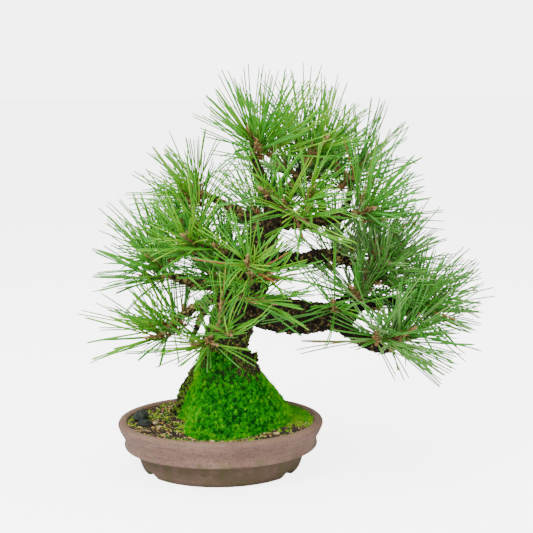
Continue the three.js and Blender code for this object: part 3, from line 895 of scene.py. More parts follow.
LIMBS = (
    Limb("low_right", "trunk", 0.2, (134, -26, 163), (0, -2, -9), (14, 10), 6),
    Limb("low_right_upper", "low_right", 0.93, (190, 12, 168), (0, -5, 8), (7.5, 4)),
    Limb("low_right_fork", "low_right", 0.8, (168, -40, 129), (3, -6, -5), (8, 5.2)),
    Limb("right_rear", "low_right", 0.7, (140, 38, 175), (-4, 2, -3), (6, 3.2)),
    Limb("mid_right", "trunk", 0.4, (110, 26, 215), (0, 4, -4), (11, 6.5)),
    Limb("mid_right_end", "mid_right", 0.95, (142, 20, 203), (0, 2, 5), (7, 4.6)),
    Limb("right_back", "mid_right", 0.7, (122, 78, 208), (-3, 2, 4), (5.4, 3)),
    Limb("upper_right", "trunk", 0.6, (134, -12, 262), (0, 4, -4), (8.5, 4.2)),
    Limb("upper_right_spur", "upper_right", 0.62, (101, -27, 281), (2, -3, -2), (4.6, 3.2)),
    Limb("crown_right", "upper_right", 0.8, (136, 22, 292), (2, 3, -3), (4.4, 3)),
    Limb("crown_top", "trunk", 0.74, (86, 16, 310), (3, 0, -3), (5.4, 3)),
    Limb("upper_front", "trunk", 0.66, (64, -50, 281), (0, 0, -4), (5.6, 3.4)),
    Limb("upper_left", "trunk", 0.57, (-11, 9, 281), (0, 3, -3), (6.4, 3)),
    Limb("left_rise", "trunk", 0.42, (-12, -26, 234), (0, -4, -4), (7, 3.4)),
    Limb("left_back", "trunk", 0.36, (-26, 34, 218), (0, 3, -4), (6.6, 3.2)),
    Limb("left_mid", "trunk", 0.28, (-48, -2, 199), (2, -3, -6), (9, 4.2)),
    Limb("left_low", "trunk", 0.2, (-43, -14, 156), (0, -12, 12), (7.4, 3.6)),
    Limb("left_droop", "left_low", 0.52, (-27, -34, 139), (2, -3, 2), (4, 2.8)),
    Limb("front_low", "trunk", 0.13, (2, -62, 158), (0, -2, -3), (6.4, 3.6)),
    Limb("front_mid", "trunk", 0.25, (25, -64, 186), (2, 0, -4), (6.6, 3.6)),
    Limb("front_high", "trunk", 0.37, (31, -66, 213), (-2, 0, -4), (6.4, 3.6)),
    Limb("back_low", "trunk", 0.17, (12, 78, 176), (0, 2, -4), (7.4, 3.6)),
    Limb("back_mid", "trunk", 0.46, (52, 76, 240), (-3, 2, -4), (7, 3.4)),
    Limb("back_high", "trunk", 0.63, (80, 50, 283), (-2, 3, -3), (5.4, 3)),
)

MASSES = (
    NeedleMass("apex", "trunk", (38, -12, 338), (-0.3, -0.15, 0.95), 3, 212, 1.08, 0.9),
    NeedleMass("crown_top", "crown_top", (96, 20, 329), (0.25, 0.1, 0.95), 3, 224, 0.95, 0.8),
    NeedleMass("crown_right", "crown_right", (141, 30, 302), (0.6, 0.2, 0.75), 3, 212, 0.9, 0.8),
    NeedleMass("crown_back", "back_high", (86, 68, 308), (0.1, 0.6, 0.78), 3, 201, 1.0, 0.85),
    NeedleMass("upper_front", "upper_front", (64, -70, 282), (-0.1, -0.85, 0.4), 2, 207, 0.8, 0.6, 0.25, 74),
    NeedleMass("upper_spur", "upper_right_spur", (96, -42, 292), (0.45, -0.45, 0.75), 1, 224, 0.9, 0.6),
    NeedleMass("upper_right", "upper_right", (155, -22, 272), (0.8, -0.3, 0.5), 3, 330, 0.9, 0.85),
    NeedleMass("upper_left", "upper_left", (-26, 10, 288), (-0.45, 0.0, 0.9), 2, 204, 0.85, 0.8),
    NeedleMass("left_rise", "left_rise", (-28, -32, 244), (-0.45, -0.25, 0.85), 4, 221, 0.8, 0.75),
    NeedleMass("left_back", "left_back", (-42, 42, 232), (-0.6, 0.35, 0.7), 3, 224, 0.9, 0.7),
    NeedleMass("left_mid", "left_mid", (-64, -1, 208), (-0.85, -0.05, 0.5), 3, 214, 0.97, 0.9),
    NeedleMass("left_low", "left_low", (-58, -10, 152), (-0.85, -0.1, 0.5), 2, 204, 1.0, 0.85),
    NeedleMass("left_droop", "left_droop", (-28, -36, 131), (-0.9, -0.3, -0.1), 1, 213, 0.9, 0.7, 0.05),
    NeedleMass("front_low", "front_low", (2, -82, 166), (0.0, -0.8, 0.45), 2, 221, 0.8, 0.4, 0.45, 64),
    NeedleMass("front_mid", "front_mid", (36, -86, 187), (0.55, -0.7, 0.0), 1, 202, 0.9, 0.5, 0.25),
    NeedleMass("front_high", "front_high", (34, -88, 215), (0.1, -0.7, 0.65), 2, 218, 0.85, 0.42, 0.1, 74),
    NeedleMass("mid_right", "mid_right_end", (175, 6, 208), (0.75, -0.1, 0.6), 6, 201, 1.0, 0.8),
    NeedleMass("right_back", "right_back", (130, 96, 210), (0.45, 0.75, 0.45), 3, 348),
    NeedleMass("right_rear", "right_rear", (148, 50, 180), (0.0, 0.5, 0.8), 3, 218, 0.9, 0.8),
    NeedleMass(
        "right_end", "low_right_upper", (211, 4, 164), (0.85, 0.0, 0.45), 4, 206, 0.95, 0.95, 0.08, 72
    ),
    NeedleMass(
        "right_fork", "low_right_fork", (186, -36, 138), (0.75, -0.35, 0.1), 3, 212, 1.0, 1.1, 0.08, 98
    ),
    NeedleMass("back_low", "back_low", (6, 98, 181), (-0.25, 0.85, 0.4), 4, 206),
    NeedleMass("back_mid", "back_mid", (53, 98, 248), (0.1, 0.8, 0.55), 4, 202, 1.05),
)


@dataclass(frozen=True)
class BackShoot:
    """A short shoot that leaves a limb behind its tip: its length, and its share of the usual needles."""

    limb: str
    leaves_at: float
    aim: Triple
    length: float
    fullness: float
    mass: str


BACK_SHOOTS = (
    BackShoot("low_right_fork", 0.72, (0.05, -0.75, 0.65), 22, 0.85, "right_fork"),
    BackShoot("low_right", 0.86, (-0.1, -0.8, 0.6), 24, 0.55, "right_fork"),
    BackShoot("low_right_upper", 0.3, (-0.45, -0.55, 0.7), 18, 0.8, "right_end"),
    BackShoot("left_mid", 0.35, (-0.3, -0.8, 0.45), 30, 0.85, "left_mid"),
    BackShoot("left_rise", 0.6, (-0.3, -0.8, 0.3), 24, 0.85, "left_rise"),
    BackShoot("trunk", 0.3, (-0.45, -0.85, 0.15), 30, 0.55, "front_mid"),
)


@dataclass(frozen=True)
class Ridge:
    """A buried root: its direction, its push on the moss, its width in degrees, and how much is bare."""

    angle: float
    reach: float
    width: float
    bare: float = 0.0

    def nearness(self, degrees: float) -> float:
        """Gives 1 in the root's own direction, and less on either side."""
        return math.exp(-((turn_from(self.angle, degrees) / self.width) ** 2))


@dataclass(frozen=True)
class Ground:
    """Shape of the ground round the trunk: soil level, moss mound and the roots under it."""

    level: float = 48.0
    foot: Pair = (5.0, 0.0)
    collar_radius: float = 23.5
    collar_height: float = 127.0
    spread: float = 60.0
    slope: float = 0.78
    roundness: float = 1.05
    sharpness: float = 6.0
    hollow: Ridge = Ridge(-160, 26, 36)
    ridges: tuple[Ridge, ...] = (
        Ridge(-102, 24, 38),
        Ridge(2, 8, 34),
        Ridge(32, 15, 16),
        Ridge(146, 0, 20, 27),
    )

    def reach(self, degrees: float) -> float:
        """Tells how far the moss reaches from the foot of the trunk in one direction."""
        out = sum(ridge.reach * ridge.nearness(degrees) for ridge in self.ridges)
        return self.spread + out - self.hollow.reach * self.hollow.nearness(degrees)

    def bare_root(self, degrees: float) -> float:
        """Tells how far a bare root stands out of the moss in one direction."""
        return sum(ridge.bare * ridge.nearness(degrees) for ridge in self.ridges)

    def height(self, distance: float, reach: float) -> float:
        """Tells how high the moss is at a distance from the foot of the trunk.

        Args:
            distance: the distance.
            reach: how far the moss reaches in that direction.

        Returns:
            The height above the table.
        """
        share = min(max((distance - self.collar_radius) / (reach - self.collar_radius), 0.0), 1.0)
        even = self.slope * (1 - share**self.roundness)
        steep = (1 - self.slope) * (1 - share) ** self.sharpness
        return self.level + (self.collar_height - self.level) * (even + steep)

    def height_at(self, place: Array) -> float:
        """Tells how high the moss is under a place."""
        x, y = place[0] - self.foot[0], place[1] - self.foot[1]
        return self.height(math.hypot(x, y), self.reach(math.degrees(math.atan2(y, x))))


@dataclass
class Skeleton:
    """Middle lines and radii of the trunk and all boughs."""

    crook: float = 2.2
    lines: dict[str, SmoothLine] = field(default_factory=dict)
    radii: dict[str, Callable[[float], float]] = field(default_factory=dict)

    def __post_init__(self) -> None:
        """Traces the trunk, then each bough from its parent."""
        self.lines["trunk"] = SmoothLine([np.array(p[:3], float) for p in TRUNK_LINE])
        self.radii["trunk"] = self.trunk_radius
        for order, limb in enumerate(LIMBS):
            numbers = SeededNumbers(LIMB_SEED + order)
            start = self.lines[limb.parent].point(limb.leaves_at)
            tip, bow = np.array(limb.tip, float), np.array(limb.bow, float)
            places = []
            for share in (0, 0.25, 0.5, 0.75, 1):
                sway = np.array([numbers.draw() - 0.5 for _ in range(3)])
                crook = 2 * self.crook * math.sin(math.pi * share)
                places.append(start + (tip - start) * share + bow * 4 * share * (1 - share) + sway * crook)
            self.lines[limb.name] = SmoothLine(places)
            self.radii[limb.name] = self.limb_radius(limb)

    @staticmethod
    def trunk_radius(share: float) -> float:
        """Gives the trunk's radius at a share of its line.

        Args:
            share: how far up the trunk.

        Returns:
            The radius.
        """
        at = share * (len(TRUNK_LINE) - 1)
        below = min(int(at), len(TRUNK_LINE) - 2)
        return blend(TRUNK_LINE[below][3], TRUNK_LINE[below + 1][3], at - below)

    @staticmethod
    def limb_radius(limb: Limb) -> Callable[[float], float]:
        """Gives the rule for one bough's radius."""
        return lambda share: blend(*limb.radii, share) + limb.swell * math.sin(math.pi * share**0.8)

    def stations(self, spacing: float) -> tuple[Array, Array]:
        """Gives places along every limb.

        Args:
            spacing: millimetres between two places.

        Returns:
            The places, and the limb's radius at each.
        """
        places, radii = [], []
        for name, line in self.lines.items():
            for share in np.linspace(0, 1, max(2, round(line.length() / spacing))):
                places.append(line.point(share))
                radii.append(self.radii[name](share))
        return np.array(places), np.array(radii)


@dataclass
class Bark:
    """Trunk and boughs under one bark with plates and cracks."""

    ground: Ground
    skeleton: Skeleton
    trunk_sides: int = 72
    limb_sides: int = 20
    voxel: float = 1.15
    stub_from: Triple = (18, -4, 112)
    stub_to: Triple = (39, -7, 117)
    stub_radii: Pair = (6, 4.4)
    stub_knob: float = 6.2
    flare_share: float = 0.55
    flare_power: float = 2.2
    bare_rise: float = 1.6
    plate_size: float = 8.0
    depth: float = 2.6
    full_girth: float = 9.0
    least_girth: float = 0.2
    damp_height: float = 150.0
    dampest: float = 0.45

    def foot_rings(self) -> list[Array]:
        """Makes the rings of the root flare, from the soil up to the collar.

        Returns:
            The rings.
        """
        rings = []
        for rise in np.linspace(0, 1, 16, endpoint=False):
            height = blend(self.ground.level, self.ground.collar_height, rise)
            flare = (1 - rise) ** self.flare_power
            ring = []
            for angle in round_angles(self.trunk_sides):
                degrees = math.degrees(angle)
                under = self.flare_share * (self.ground.reach(degrees) - self.ground.collar_radius)
                root = self.ground.bare_root(degrees) * min(1.0, self.bare_rise * (1 - rise))
                radius = self.ground.collar_radius + under * flare + root
                x, y = self.ground.foot
                ring.append((x + radius * math.cos(angle), y + radius * math.sin(angle), height))
            rings.append(np.array(ring))
        return rings

    def trunk_shape(self) -> Shape:
        """Makes the trunk from the soil to its tip.

        Returns:
            The closed trunk.
        """
        line = self.skeleton.lines["trunk"]
        shares = np.linspace(0, 1, 70)
        upper = rings_along(line, shares, self.trunk_sides, self.skeleton.trunk_radius)
        return loft([*self.foot_rings(), *upper])

    def limb_shape(self, name: str) -> Shape:
        """Makes one bough, rounded at its tip.

        Args:
            name: the limb's name.

        Returns:
            The closed bough.
        """
        line, radius_at = self.skeleton.lines[name], self.skeleton.radii[name]
        shares = np.linspace(0, 1, max(6, round(line.length() / 3)))
        rings = rings_along(line, shares, self.limb_sides, radius_at)
        nose = line.point(1) + 0.5 * radius_at(1) * line.tangent(1)
        return loft(rings, (rings[0].mean(0), nose))

    def stub_shape(self) -> Shape:
        """Makes the sawn stub low on the trunk, with its knob.

        Returns:
            The closed stub.
        """
        start, end = np.array(self.stub_from, float), np.array(self.stub_to, float)
        line = BentLine(start, (start + end) / 2, end)

        def radius_at(share: float) -> float:
            """Widens the stub into its knob near the end."""
            knob = (self.stub_knob - self.stub_radii[1]) * max(0.0, (share - 0.55) / 0.45)
            return blend(*self.stub_radii, share) + knob

        return loft(rings_along(line, np.linspace(0, 1, 8), self.limb_sides, radius_at))

    @staticmethod
    def relief() -> NodeTree:
        """Builds the nodes that raise the bark's plates, sink its cracks and note where they are.

        Returns:
            The tree of Geometry Nodes.
        """
        tree = bpy.data.node_groups.new("bark relief", "GeometryNodeTree")
        kit = NodeKit(tree)
        mesh, plate_size, depth = kit.inputs({"Plate Size": "Float", "Depth": "Float"}).values()
        girth = kit.noted("girth")
        place = kit.out("GeometryNodeInputPosition")
        warp = kit.out("ShaderNodeTexNoise", {}, {"Vector": place, "Scale": 90.0, "Detail": 2.0}, "Color")
        warp = kit.vector_math("SUBTRACT", warp, (0.5, 0.5, 0.5))
        place = kit.vector_math("ADD", place, kit.scaled(warp, 0.006))
        tall = kit.vector_math("MULTIPLY", place, (1.0, 1.0, 0.7))
        scale = kit.math("DIVIDE", 1.0, plate_size)
        crack = kit.cells(tall, scale, feature="DISTANCE_TO_EDGE").step(0.0, 0.16)
        tone = kit.out("FunctionNodeSeparateColor", {}, {0: kit.cells(tall, scale, "Color")})
        crumbs = kit.cells(place, scale * 2.7)
        chaff = kit.cells(place, scale * 1.7)
        broad = kit.noise(place, 13.0, 3.0, 0.6)
        plates = crack * (0.4 + tone * 0.6) - 0.7
        rise = plates + (0.5 - crumbs) * 0.6 + (0.5 - chaff) * 0.9 + (broad - 0.5) * 1.9
        offset = kit.scaled(kit.out("GeometryNodeInputNormal"), rise * depth * girth)
        moved = kit.out("GeometryNodeSetPosition", {}, {"Geometry": mesh, "Offset": offset})
        settings = {"data_type": "FLOAT", "domain": "POINT"}
        sockets = {"Geometry": moved, "Name": "crack", "Value": crack - crumbs * 0.35}
        stored = kit.out("GeometryNodeStoreNamedAttribute", settings, sockets)
        kit.node("NodeGroupOutput", {}, {0: stored})
        return tree

    def flakes(self, piece: Object) -> None:
        """Scatters loose flakes of bark over the bark, and green crumbs low on the trunk.

        Args:
            piece: the finished bark.
        """
        note_bias(piece, self.dampness)
        plan = (
            ("bark_flakes_dark", "bark", "#0f0b08", "#2a2018", (4.6, 3.2, 1.3), 31, 0.075e6, -NO_LIMIT),
            ("bark_flakes_brown", "bark", "#6a5630", "#3c2f1a", (4.0, 2.6, 1.0), 32, 0.05e6, 0.54),
            ("bark_crumbs_green", "moss", "#6b9c1c", "#3d6c10", (2.4, 2.0, 1.4), 33, 0.26e6, 0.8),
        )
        scatter = Scatter("bark flakes")
        scatter.litter(piece, plan, 0.25, 2.0, smallest=0.45, largest=1.2, lean=0.35, patch_size=0.012)
        forget_bias(piece)

    def dampness(self, places: Array) -> Array:
        """Tells how much moss creeps up the bark: only near the trunk's foot."""
        low = np.clip((self.damp_height - places[:, 2]) / 30, 0, 1)
        return self.dampest * low * np.clip((50 - places[:, 0]) / 12, 0, 1)

    def build(self) -> None:
        """Joins the limbs under one skin, gives it relief, and lets it stand for trunk and boughs."""
        shapes = [self.trunk_shape(), self.stub_shape()]
        shapes += [self.limb_shape(limb.name) for limb in LIMBS]
        piece = Shape.joined(shapes).to_object("bark")
        coat = piece.modifiers.new("one skin", "REMESH")
        coat.mode = "VOXEL"
        coat.voxel_size = self.voxel * MM
        coat.use_smooth_shade = True
        made_plain(piece)
        self.note_girth(piece)
        grown(piece, self.relief(), {"Plate Size": self.plate_size * MM, "Depth": self.depth * MM})
        self.flakes(piece)
        finish = BarkFinish("pine bark", "#1c150a", 0.93, 0.25)
        nodes = ["trunk", *(limb.node for limb in LIMBS)]
        dressed(piece, finish.material(), "bark", *nodes)

    def note_girth(self, piece: Object) -> None:
        """Stores how deep the relief may go at each corner, by the radius of the nearest limb.

        Args:
            piece: the bark before its relief.
        """
        places, radii = self.skeleton.stations(3.0)
        tree = kdtree.KDTree(len(places))
        for i, place in enumerate(to_frame(places)):
            tree.insert(place, i)
        tree.balance()
        near = [radii[tree.find(corner)[1]] for corner in corner_places(piece)]
        note(piece, "girth", np.clip(np.array(near) / self.full_girth, self.least_girth, 1.0))


@dataclass
class Shoot:
    """A twig that ends in a bud, with needles round its last stretch."""

    line: SmoothLine
    radii: Pair
    aim: Array
    reach: float
    pairs: int
    mass: NeedleMass

    def tip(self) -> Array:
        """Gives the end of the twig."""
        return self.line.point(1)


@dataclass
class Foliage:
    """Twigs, buds, sheaths and needles that grow on from the boughs."""

    ground: Ground
    skeleton: Skeleton
    clearance: float = 0.3
    stem_radius: float = 3.0
    stem_elbow: float = 0.45
    core_behind: float = 9.0
    twig_radii: Pair = (2.3, 1.9)
    twig_at: Pair = (0.3, 0.85)
    twig_tilt: float = 54.0
    twig_length: float = 23.0
    twig_lift: float = 0.22
    twig_spread: float = 0.15
    twig_rise: Triple = (0, 0, 0.2)
    leader_pairs: int = 24
    side_pairs: int = 19
    spur_pairs: int = 8
    needle_length: float = 74.0
    needle_lengths: Pair = (0.64, 1.12)
    needle_radius: float = 0.74
    steepest: float = 1.0
    hanging_cut: float = 1.8
    upturn: float = 0.45
    back_radius: float = 2.6
    spur_at: Pair = (0.62, 0.86)
    spur_tilt: Pair = (42.0, 66.0)
    spur_length: Pair = (9.0, 15.0)
    spur_radii: Pair = (1.7, 1.4)
    spur_rise: float = 0.1
    tuft_start: float = 9.0
    tuft_depth: float = 22.0
    root_radius: float = 1.5
    needle_tilt: float = 6.0
    tilt_scatter: float = 9.0
    turn_scatter: float = 0.4
    needle_gap: float = 0.2
    shortest: float = 0.45
    dead_share: float = 0.005
    last_living: int = 5
    moss_gap: float = 3.0
    sheath_radius: float = 1.2
    sheath_at: Triple = (-1.5, 2.0, 7.0)
    bud_lengths: Pair = (7.5, 5.5)
    bud_radii: Pair = (1.9, 1.4)
    side_bud: float = 0.62
    beyond: float = 5.0
    hem: float = 110.0
    hem_radius: float = 92.0
    shoots: list[Shoot] = field(default_factory=list)

    def grow(self) -> None:
        """Grows the shoots of every mass by the seeded rule, then finer spurs on them."""
        for mass in MASSES:
            main = self.mass_shoots(mass)
            self.shoots += main
            numbers = np.random.default_rng(mass.seed)
            for shoot in main:
                self.shoots += self.spurs(shoot, numbers)
        self.shoots += [self.back_shoot(plan) for plan in BACK_SHOOTS]
        LOG.info("shoots: %d", len(self.shoots))

    def back_shoot(self, plan: BackShoot) -> Shoot:
        """Grows one short shoot from the side of a limb.

        Args:
            plan: where it grows and how.

        Returns:
            The shoot.
        """
        foot = self.skeleton.lines[plan.limb].point(plan.leaves_at)
        aim = unit(np.array(plan.aim, float))
        mass = next(mass for mass in MASSES if mass.name == plan.mass)
        line = BentLine(foot, foot + (aim - self.twig_rise) * 0.5 * plan.length, foot + aim * plan.length)
        pairs = round(self.leader_pairs * plan.fullness)
        return Shoot(line, (self.back_radius, self.twig_radii[1]), aim, mass.reach, pairs, mass)

    def fork(self, line: SmoothLine, at: float, turn: float, tilt: float) -> tuple[Array, Array]:
        """Gives the foot and the direction of a twig that leaves a line.

        Args:
            line: the line that carries it.
            at: the share of the line where it leaves.
            turn: its turn round the line, in radians.
            tilt: how far it opens from the line, in radians.

        Returns:
            Its foot, and its direction with a lift to the light.
        """
        foot, along = line.point(at), line.tangent(at)
        across, upward = side_frame(along)
        outward = across * math.cos(turn) + upward * math.sin(turn)
        way = along * math.cos(tilt) + math.sin(tilt) * outward
        way[2] += self.twig_lift
        return foot, unit(way)

    @staticmethod
    def twig_line(foot: Array, way: Array, length: float, rise: float) -> BentLine:
        """Draws a twig of one length from its foot, whose end rises by a share of the length."""
        end = foot + way * length + np.array([0, 0, rise * length])
        return BentLine(foot, foot + way * 0.5 * length, end)

    def mass_shoots(self, mass: NeedleMass) -> list[Shoot]:
        """Grows the leading stem of one mass and the side twigs that leave it.

        Args:
            mass: the mass of needles.

        Returns:
            The shoots, the leading one first.
        """
        numbers = SeededNumbers(mass.seed)
        limb = self.skeleton.lines[mass.limb]
        onward = limb.tangent(1)
        root = limb.point(1) + onward * self.clearance
        aim = unit(np.array(mass.aim, float))
        leader = np.array(mass.leader, float) - aim * self.core_behind
        far = float(np.linalg.norm(root - leader))
        stem = BentLine(root, root + onward * self.stem_elbow * far, leader)
        start = min(self.skeleton.radii[mass.limb](1) - 0.2, self.stem_radius)
        pairs = round(self.leader_pairs * mass.fullness)
        shoots = [Shoot(stem, (start, self.twig_radii[1]), aim, mass.reach, pairs, mass)]
        phase = 2 * math.pi * numbers.draw()
        for side in range(mass.sides):
            share = side / (mass.sides - 1) if mass.sides > 1 else 0.5
            turn = phase + side * GOLDEN_ANGLE
            tilt = math.radians(self.twig_tilt * (1 + self.twig_spread * (2 * numbers.draw() - 1)))
            foot, way = self.fork(stem, blend(*self.twig_at, share), turn, tilt)
            length = self.twig_length * (1 + self.twig_spread * (2 * numbers.draw() - 1))
            line = self.twig_line(foot, way, length, self.twig_lift * 0.4)
            side_aim = unit(way + aim * 0.8)
            pairs = round(self.side_pairs * mass.fullness)
            shoots.append(Shoot(line, self.twig_radii, side_aim, mass.reach, pairs, mass))
        return shoots

    def spurs(self, shoot: Shoot, numbers: Generator) -> list[Shoot]:
        """Grows a short spur near the end of every second shoot or so.

        Args:
            shoot: the shoot that carries them.
            numbers: the mass's own random numbers.

        Returns:
            The spurs.
        """
        spurs = []
        phase = numbers.uniform(0, 2 * math.pi)
        for order in range(int(numbers.integers(0, 2))):
            at = numbers.uniform(*self.spur_at)
            turn = phase + order * math.pi * numbers.uniform(0.8, 1.2)
            foot, way = self.fork(shoot.line, at, turn, math.radians(numbers.uniform(*self.spur_tilt)))
            line = self.twig_line(foot, way, numbers.uniform(*self.spur_length), self.spur_rise)
            aim, reach = unit(way + shoot.aim * 0.6), shoot.reach * 0.95
            spurs.append(Shoot(line, self.spur_radii, aim, reach, self.spur_pairs, shoot.mass))
        return spurs

    def needle_roots(self, shoot: Shoot, numbers: Generator) -> dict[str, Array]:
        """Sets out the needle pairs of one shoot.

        Args:
            shoot: the shoot.
            numbers: random numbers of its own.

        Returns:
            Arrays with a row for each pair: root, way, side, length and how far back it stands.
        """
        count = shoot.pairs
        order = np.arange(count)
        back = np.sqrt((order + 0.4) / count)
        start, crooked = numbers.uniform(0, 6.28), numbers.normal(0, self.turn_scatter, count)
        opening = self.needle_tilt + shoot.mass.spread * back**1.15
        tilt = np.radians(opening + numbers.normal(0, self.tilt_scatter, count))
        outward = spokes(order * GOLDEN_ANGLE + start + crooked, *side_frame(shoot.aim))
        behind = np.outer(self.tuft_start - self.tuft_depth * back, shoot.aim)
        root = shoot.tip() + behind + outward * self.root_radius
        way = np.outer(np.cos(tilt), shoot.aim) + outward * np.sin(tilt)[:, None]
        way[:, 2] += shoot.mass.lift + self.upturn * np.clip(-way[:, 2], 0, 1)
        way[:, 2] = np.maximum(way[:, 2], -self.steepest * np.hypot(way[:, 0], way[:, 1]))
        way = unit(way)
        side = unit(np.cross(way, unit(numbers.normal(0, 1, (count, 3)))))
        length = self.needle_length * shoot.reach * numbers.uniform(*self.needle_lengths, count)
        length *= 1 - self.hanging_cut * np.clip(-way[:, 2] - 0.5, 0, 0.2)
        length = np.minimum(length, self.room_ahead(root, way))
        return {"root": root, "way": way, "side": side, "length": length, "back": back}

    def room_ahead(self, root: Array, way: Array) -> Array:
        """Measures how far each needle may go before it leaves the plant's outline.

        Args:
            root: where the needles start.
            way: where they point.

        Returns:
            The distances in millimetres.
        """
        low = (np.array(CAD_BOX[0]) - POT_MIDDLE) / MM - self.beyond
        high = (np.array(CAD_BOX[1]) - POT_MIDDLE) / MM + self.beyond
        ahead = np.where(way > 0, high - root, root - low)
        return (ahead / np.maximum(np.abs(way), 1e-6)).min(1)

    @staticmethod
    def bent_paths(pairs: dict[str, Array], numbers: Generator) -> Array:
        """Bends each needle of each pair.

        Args:
            pairs: what needle_roots gives.
            numbers: the shoot's random numbers.

        Returns:
            An array of needles by steps by 3, the two needles of a pair one after the other.
        """
        steps = np.array(NEEDLE_STEPS)
        count = len(pairs["root"])
        part = np.radians(numbers.uniform(1.5, 6.0, count))
        curl = numbers.normal(0, 5.5, (count, 1)) * pairs["side"]
        sag = np.zeros((count, 3))
        sag[:, 2] = -numbers.uniform(-3.0, 9.0, count) * np.clip(1 - np.abs(pairs["way"][:, 2]), 0.2, 1)
        paths = []
        for hand in (-1, 1):
            way = unit(pairs["way"] + hand * np.tan(part)[:, None] * pairs["side"])
            reach = pairs["length"] * numbers.uniform(0.97, 1.03, count)
            closing = -hand * numbers.uniform(0.0, 3.0, count)[:, None] * pairs["side"]
            bend = (curl + sag + closing)[:, None, :] * (steps**2)[None, :, None]
            straight = way[:, None, :] * reach[:, None, None] * steps[None, :, None]
            paths.append(pairs["root"][:, None, :] + straight + bend)
        return np.stack(paths, 1).reshape(2 * count, len(steps), 3)

    def kept(self, paths: Array, stations: tuple[Array, Array]) -> Array:
        """Tells which needles clear every limb and the moss and aren't cut short.

        Args:
            paths: what bent_paths gives.
            stations: places along the limbs, and their radii.

        Returns:
            True or False for each needle.
        """
        places, radii = stations
        probes = paths[:, 1:, :]
        gaps = np.linalg.norm(probes[:, :, None, :] - places[None, None], axis=-1) - radii[None, None]
        clear = gaps.min(axis=(1, 2)) > self.needle_gap
        span = np.linalg.norm(paths[:, -1] - paths[:, 0], axis=1)
        long_enough = span > self.shortest * self.needle_length
        ends = paths[:, -1] - np.array([*self.ground.foot, 0])
        above = (ends[:, 2] > self.hem) | (np.hypot(ends[:, 0], ends[:, 1]) > self.hem_radius)
        above &= np.array([p[-1, 2] > self.ground.height_at(p[-1]) + self.moss_gap for p in paths])
        return clear & long_enough & above

    @staticmethod
    def blades(paths: Array, radius: float) -> Shape:
        """Makes three-sided needles along their paths.

        Args:
            paths: needles by steps by 3, the last step at the tip.
            radius: the needle's radius in its middle.

        Returns:
            One shape with all the needles.
        """
        count, steps = paths.shape[:2]
        along = unit(np.gradient(paths, axis=1))
        helper = np.where(np.abs(along[:, :1, 2:]) > 0.9, [1.0, 0, 0], [0, 0, 1.0])
        across = unit(np.cross(along, helper))
        up = np.cross(along, across)
        swell = radius * np.array(NEEDLE_SWELL)[: steps - 1]
        corners = []
        for side in range(3):
            angle = 2 * math.pi * side / 3 + 0.5
            turned = across * math.cos(angle) + up * math.sin(angle)
            corners.append(paths[:, :-1] + turned[:, :-1] * swell[None, :, None])
        rings = np.stack(corners, 2).reshape(count, (steps - 1) * 3, 3)
        block = np.concatenate([rings, paths[:, -1:]], 1)
        size = block.shape[1]
        top = (steps - 2) * 3
        sides = ((0, 1), (1, 2), (2, 0))
        quads = [
            (ring + side, ring + after, ring + 3 + after, ring + 3 + side)
            for ring in range(0, top, 3)
            for side, after in sides
        ]
        tips = [(top + side, top + after, size - 1) for side, after in sides] + [(2, 1, 0)]
        base = (np.arange(count) * size)[:, None, None]
        quad_faces = (base + np.array(quads)[None]).reshape(-1, 4)
        tip_faces = (base + np.array(tips)[None]).reshape(-1, 3)
        return Shape(block.reshape(-1, 3), [quad_faces, tip_faces])

    def shade_of(self, shoot: Shoot, numbers: Generator) -> int:
        """Picks a shoot's shade: sunlit in front, shaded behind and on the right.

        Args:
            shoot: the shoot.
            numbers: its random numbers.

        Returns:
            The place of the shade in NeedleShade.
        """
        x, y, z = shoot.tip()
        shade = 2.1 - 0.8 * np.clip(-y / 70, 0, 1) + 1.6 * np.clip((y - 20) / 60, 0, 1)
        shade += 2.0 * np.clip((x - 90) / 80, 0, 1) - 0.6 * np.clip((z - 240) / 60, 0, 1)
        return int(np.clip(round(shade + numbers.normal(0, 0.6)), 0, self.last_living))

    def build(self) -> None:
        """Makes the twigs, sheaths, buds and needles, and lets them stand for the masses."""
        self.grow()
        stations = self.skeleton.stations(5.0)
        shades = list(NeedleShade)
        dealt: dict[NeedleShade, list[Shape]] = {shade: [] for shade in shades}
        sheaths, twigs, buds = [], [], []
        for order, shoot in enumerate(self.shoots):
            numbers = np.random.default_rng(SHOOT_SEED + order)
            pairs = self.needle_roots(shoot, numbers)
            paths = self.bent_paths(pairs, numbers)
            keep = self.kept(paths, stations)
            main = self.shade_of(shoot, numbers)
            # Needles far back on the shoot take the next, more shaded colour: partly the darker colour of
            # older needles, partly painted shade inside the tuft.
            drift = numbers.choice([-1, -1, 0, 0, 0, 1], len(paths)) + (np.repeat(pairs["back"], 2) > 0.75)
            index = np.clip(main + drift, 0, self.last_living)
            index[numbers.random(len(paths)) < self.dead_share] = shades.index(NeedleShade.DEAD)
            for number, shade in enumerate(shades):
                chosen = paths[keep & (index == number)]
                if len(chosen):
                    dealt[shade].append(self.blades(chosen, self.needle_radius))
            sheaths.append(self.sheaths(paths[::2][keep[::2]]))
            twigs.append(self.twig_shape(shoot, numbers))
            buds += self.bud_shapes(shoot, numbers)
        masses = [mass.node for mass in MASSES]
        for shade, shapes in dealt.items():
            name = "needles_" + shade.name.lower()
            finish = Finish(name, shade.value, 0.4, 0.36)
            dressed(Shape.joined(shapes).to_object(name), finish.material(), "needles", *masses)
        plan = (
            ("twigs", twigs, StoneFinish("twig bark", "#6a502c", 0.9, 0.5, "#ab8f5a", 3.0), masses),
            ("sheaths", sheaths, Finish("needle sheaths", "#a47c4c", 0.85), []),
            ("buds", buds, StoneFinish("bud scales", "#a3703f", 0.75, 0.5, "#d9bd90", 1.6), []),
        )
        for name, shapes, finish, nodes in plan:
            dressed(Shape.joined(shapes).to_object(name), finish.material(), "bark", *nodes)

